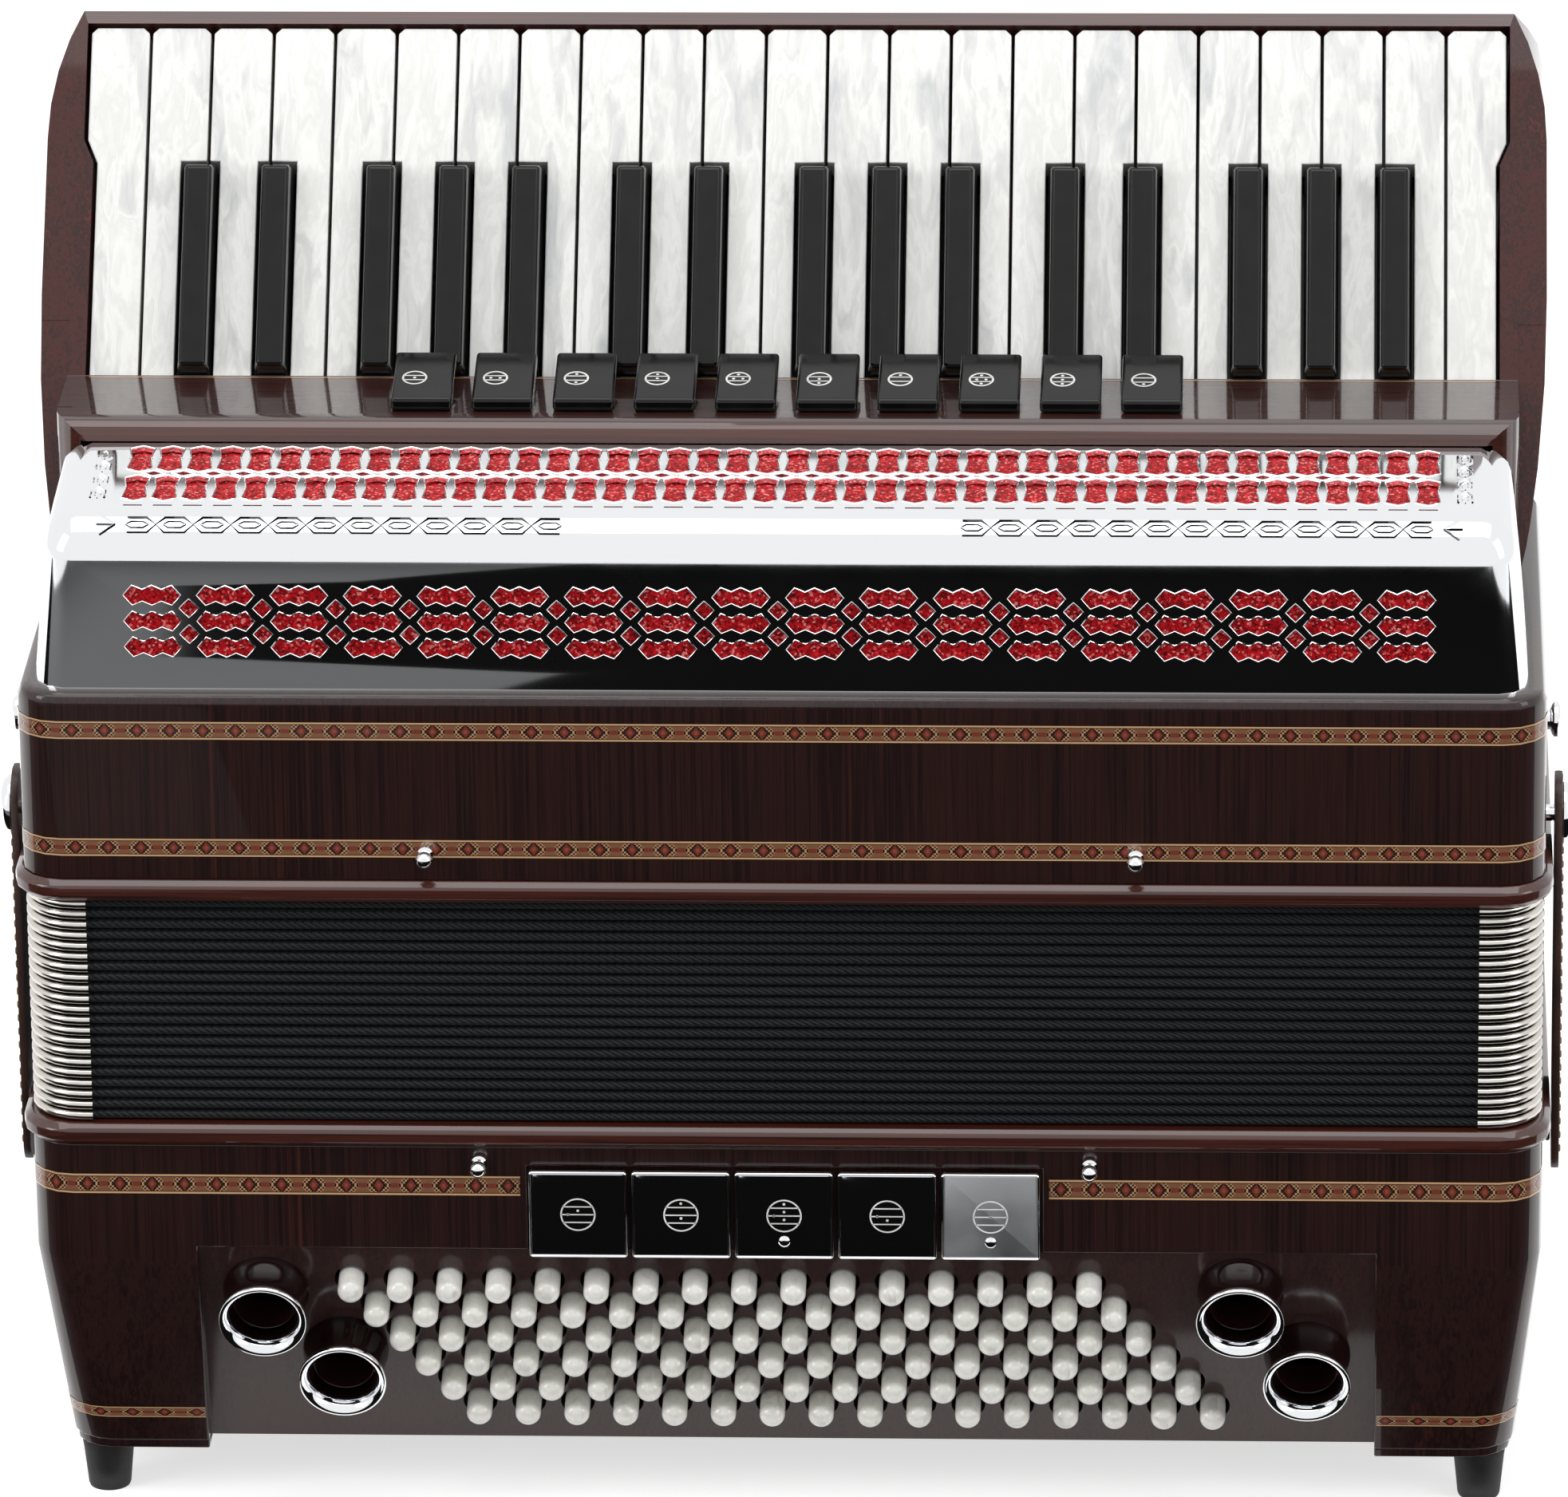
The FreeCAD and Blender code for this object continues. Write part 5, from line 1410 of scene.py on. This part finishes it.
def stage_sheet(name, corners, z, finish):
    """A flat sheet for the studio."""
    points = [(x, y, z) for x, y in corners]
    sheet = put_in_scene(name, mesh_of(name, [(points, [tuple(range(len(points)))])]))
    sheet.data.materials.append(finish.material)
    return sheet


def seen_or_mirrored(tree):
    """One for rays from the camera, from mirrors and through glass, else zero."""
    path = tree.nodes.new("ShaderNodeLightPath")
    total = path.outputs["Is Camera Ray"]
    for name in ("Is Glossy Ray", "Is Transmission Ray"):
        add = tree.nodes.new("ShaderNodeMath")
        add.operation, add.use_clamp = "ADD", True
        tree.links.new(total, add.inputs[0])
        tree.links.new(path.outputs[name], add.inputs[1])
        total = add.outputs[0]
    return total


def matt_finish(name, level, rough):
    """Paper or painted floor without shine."""
    finish = Finish(name, grey(level), rough)
    finish.set("Specular IOR Level", 0.0)
    return finish


floor_finish = matt_finish("studio_floor", 0.8, 0.9)
floor_finish.set("Emission Color", grey(1.0))
glow = floor_finish.math("MULTIPLY", seen_or_mirrored(floor_finish.tree), glow_strength)
floor_finish.set("Emission Strength", glow)
stage_sheet("studio_floor", rectangle(-9.0, 9.0, -9.0, 12.0), 0.0, floor_finish)
dark_corners = [(-2.6, -0.62), (-2.6, -0.075), (-0.18, -0.075), (-0.18, -0.12), (0.18, -0.12), (0.18, -0.075),
                (2.6, -0.075), (2.6, -4.5), (-0.62, -4.5), (-0.26, -0.87), (-0.21, -0.64)]
grey_corners = [(-2.6, -4.5), (-2.6, -0.5), (0.2, -0.5), (0.2, -4.5)]
for name, corners, z, level in (("dark_card", dark_corners, 0.003, 0.006),
                                ("grey_card", grey_corners, 0.0015, 0.17)):
    card = stage_sheet(name, corners, z, matt_finish(name, level, 1.0))
    card.visible_camera = card.visible_diffuse = card.visible_shadow = False
print("floor and cards ready")

# %% World and lamps
world = bpy.data.worlds.new("studio")
bpy.context.scene.world = world
world.use_nodes = True
tree = world.node_tree
tree.nodes["Background"].inputs["Color"].default_value = grey(1.0)
strength = tree.nodes.new("ShaderNodeMapRange")
strength.inputs["To Min"].default_value, strength.inputs["To Max"].default_value = 0.42, 1.0
tree.links.new(seen_or_mirrored(tree), strength.inputs["Value"])
tree.links.new(strength.outputs["Result"], tree.nodes["Background"].inputs["Strength"])


def soft_lamp(name, place, size, power):
    """A large area lamp that looks at the instrument."""
    light = bpy.data.lights.new(name, "AREA")
    light.shape, light.energy = "RECTANGLE", power
    light.size, light.size_y = size
    lamp = put_in_scene(name, light)
    lamp.location = place
    lamp.rotation_euler = (Vector((0.0, 0.0, 0.2)) - Vector(place)).to_track_quat("-Z", "Y").to_euler()


soft_lamp("lamp_over", (0.0, -0.3, 2.4), (2.6, 1.6), 26.0)
soft_lamp("lamp_left", (-2.3, -1.4, 1.5), (0.9, 1.6), 20.0)
soft_lamp("lamp_right", (2.3, -1.2, 1.4), (0.9, 1.6), 14.0)
print("world and lamps ready")

# %% [markdown]
# ## Camera
# The camera stands where the photograph was taken: a little to the right, looking down by about twenty
# degrees through a long lens. The direction, roll and distance were worked out once from known corners of the
# instrument, so they are written here as plain values.

# %% Camera
image_width, image_height = 1965.0, 1876.0
tilt, yaw, roll = math.radians(20.8198), math.radians(-2.783), math.radians(-0.7225)
camera_distance = 3.655
aim, aim_pixel = Vector((0.0, front_y + 0.095, 0.230)), (994.485, 887.373)
forward = Vector((math.sin(yaw) * math.cos(tilt), math.cos(yaw) * math.cos(tilt), -math.sin(tilt)))
level_right = Vector((math.cos(yaw), -math.sin(yaw), 0.0))
level_up = level_right.cross(forward)
right = level_right * math.cos(roll) + level_up * math.sin(roll)
up = level_up * math.cos(roll) - level_right * math.sin(roll)
camera_data = bpy.data.cameras.new("camera")
camera_data.lens, camera_data.sensor_width, camera_data.sensor_fit = 275.0, 36.0, "HORIZONTAL"
camera_data.shift_x = (image_width / 2.0 - aim_pixel[0]) / image_width
camera_data.shift_y = (aim_pixel[1] - image_height / 2.0) / image_width
camera_data.clip_end = 100.0
camera = put_in_scene("camera", camera_data)
turn = Matrix((right, up, -forward)).transposed()
camera.matrix_world = Matrix.Translation(aim - forward * camera_distance) @ turn.to_4x4()
bpy.context.scene.camera = camera
print("camera at", [round(v, 3) for v in camera.location])

# %% Finish
bpy.context.scene.view_settings.view_transform = "Standard"
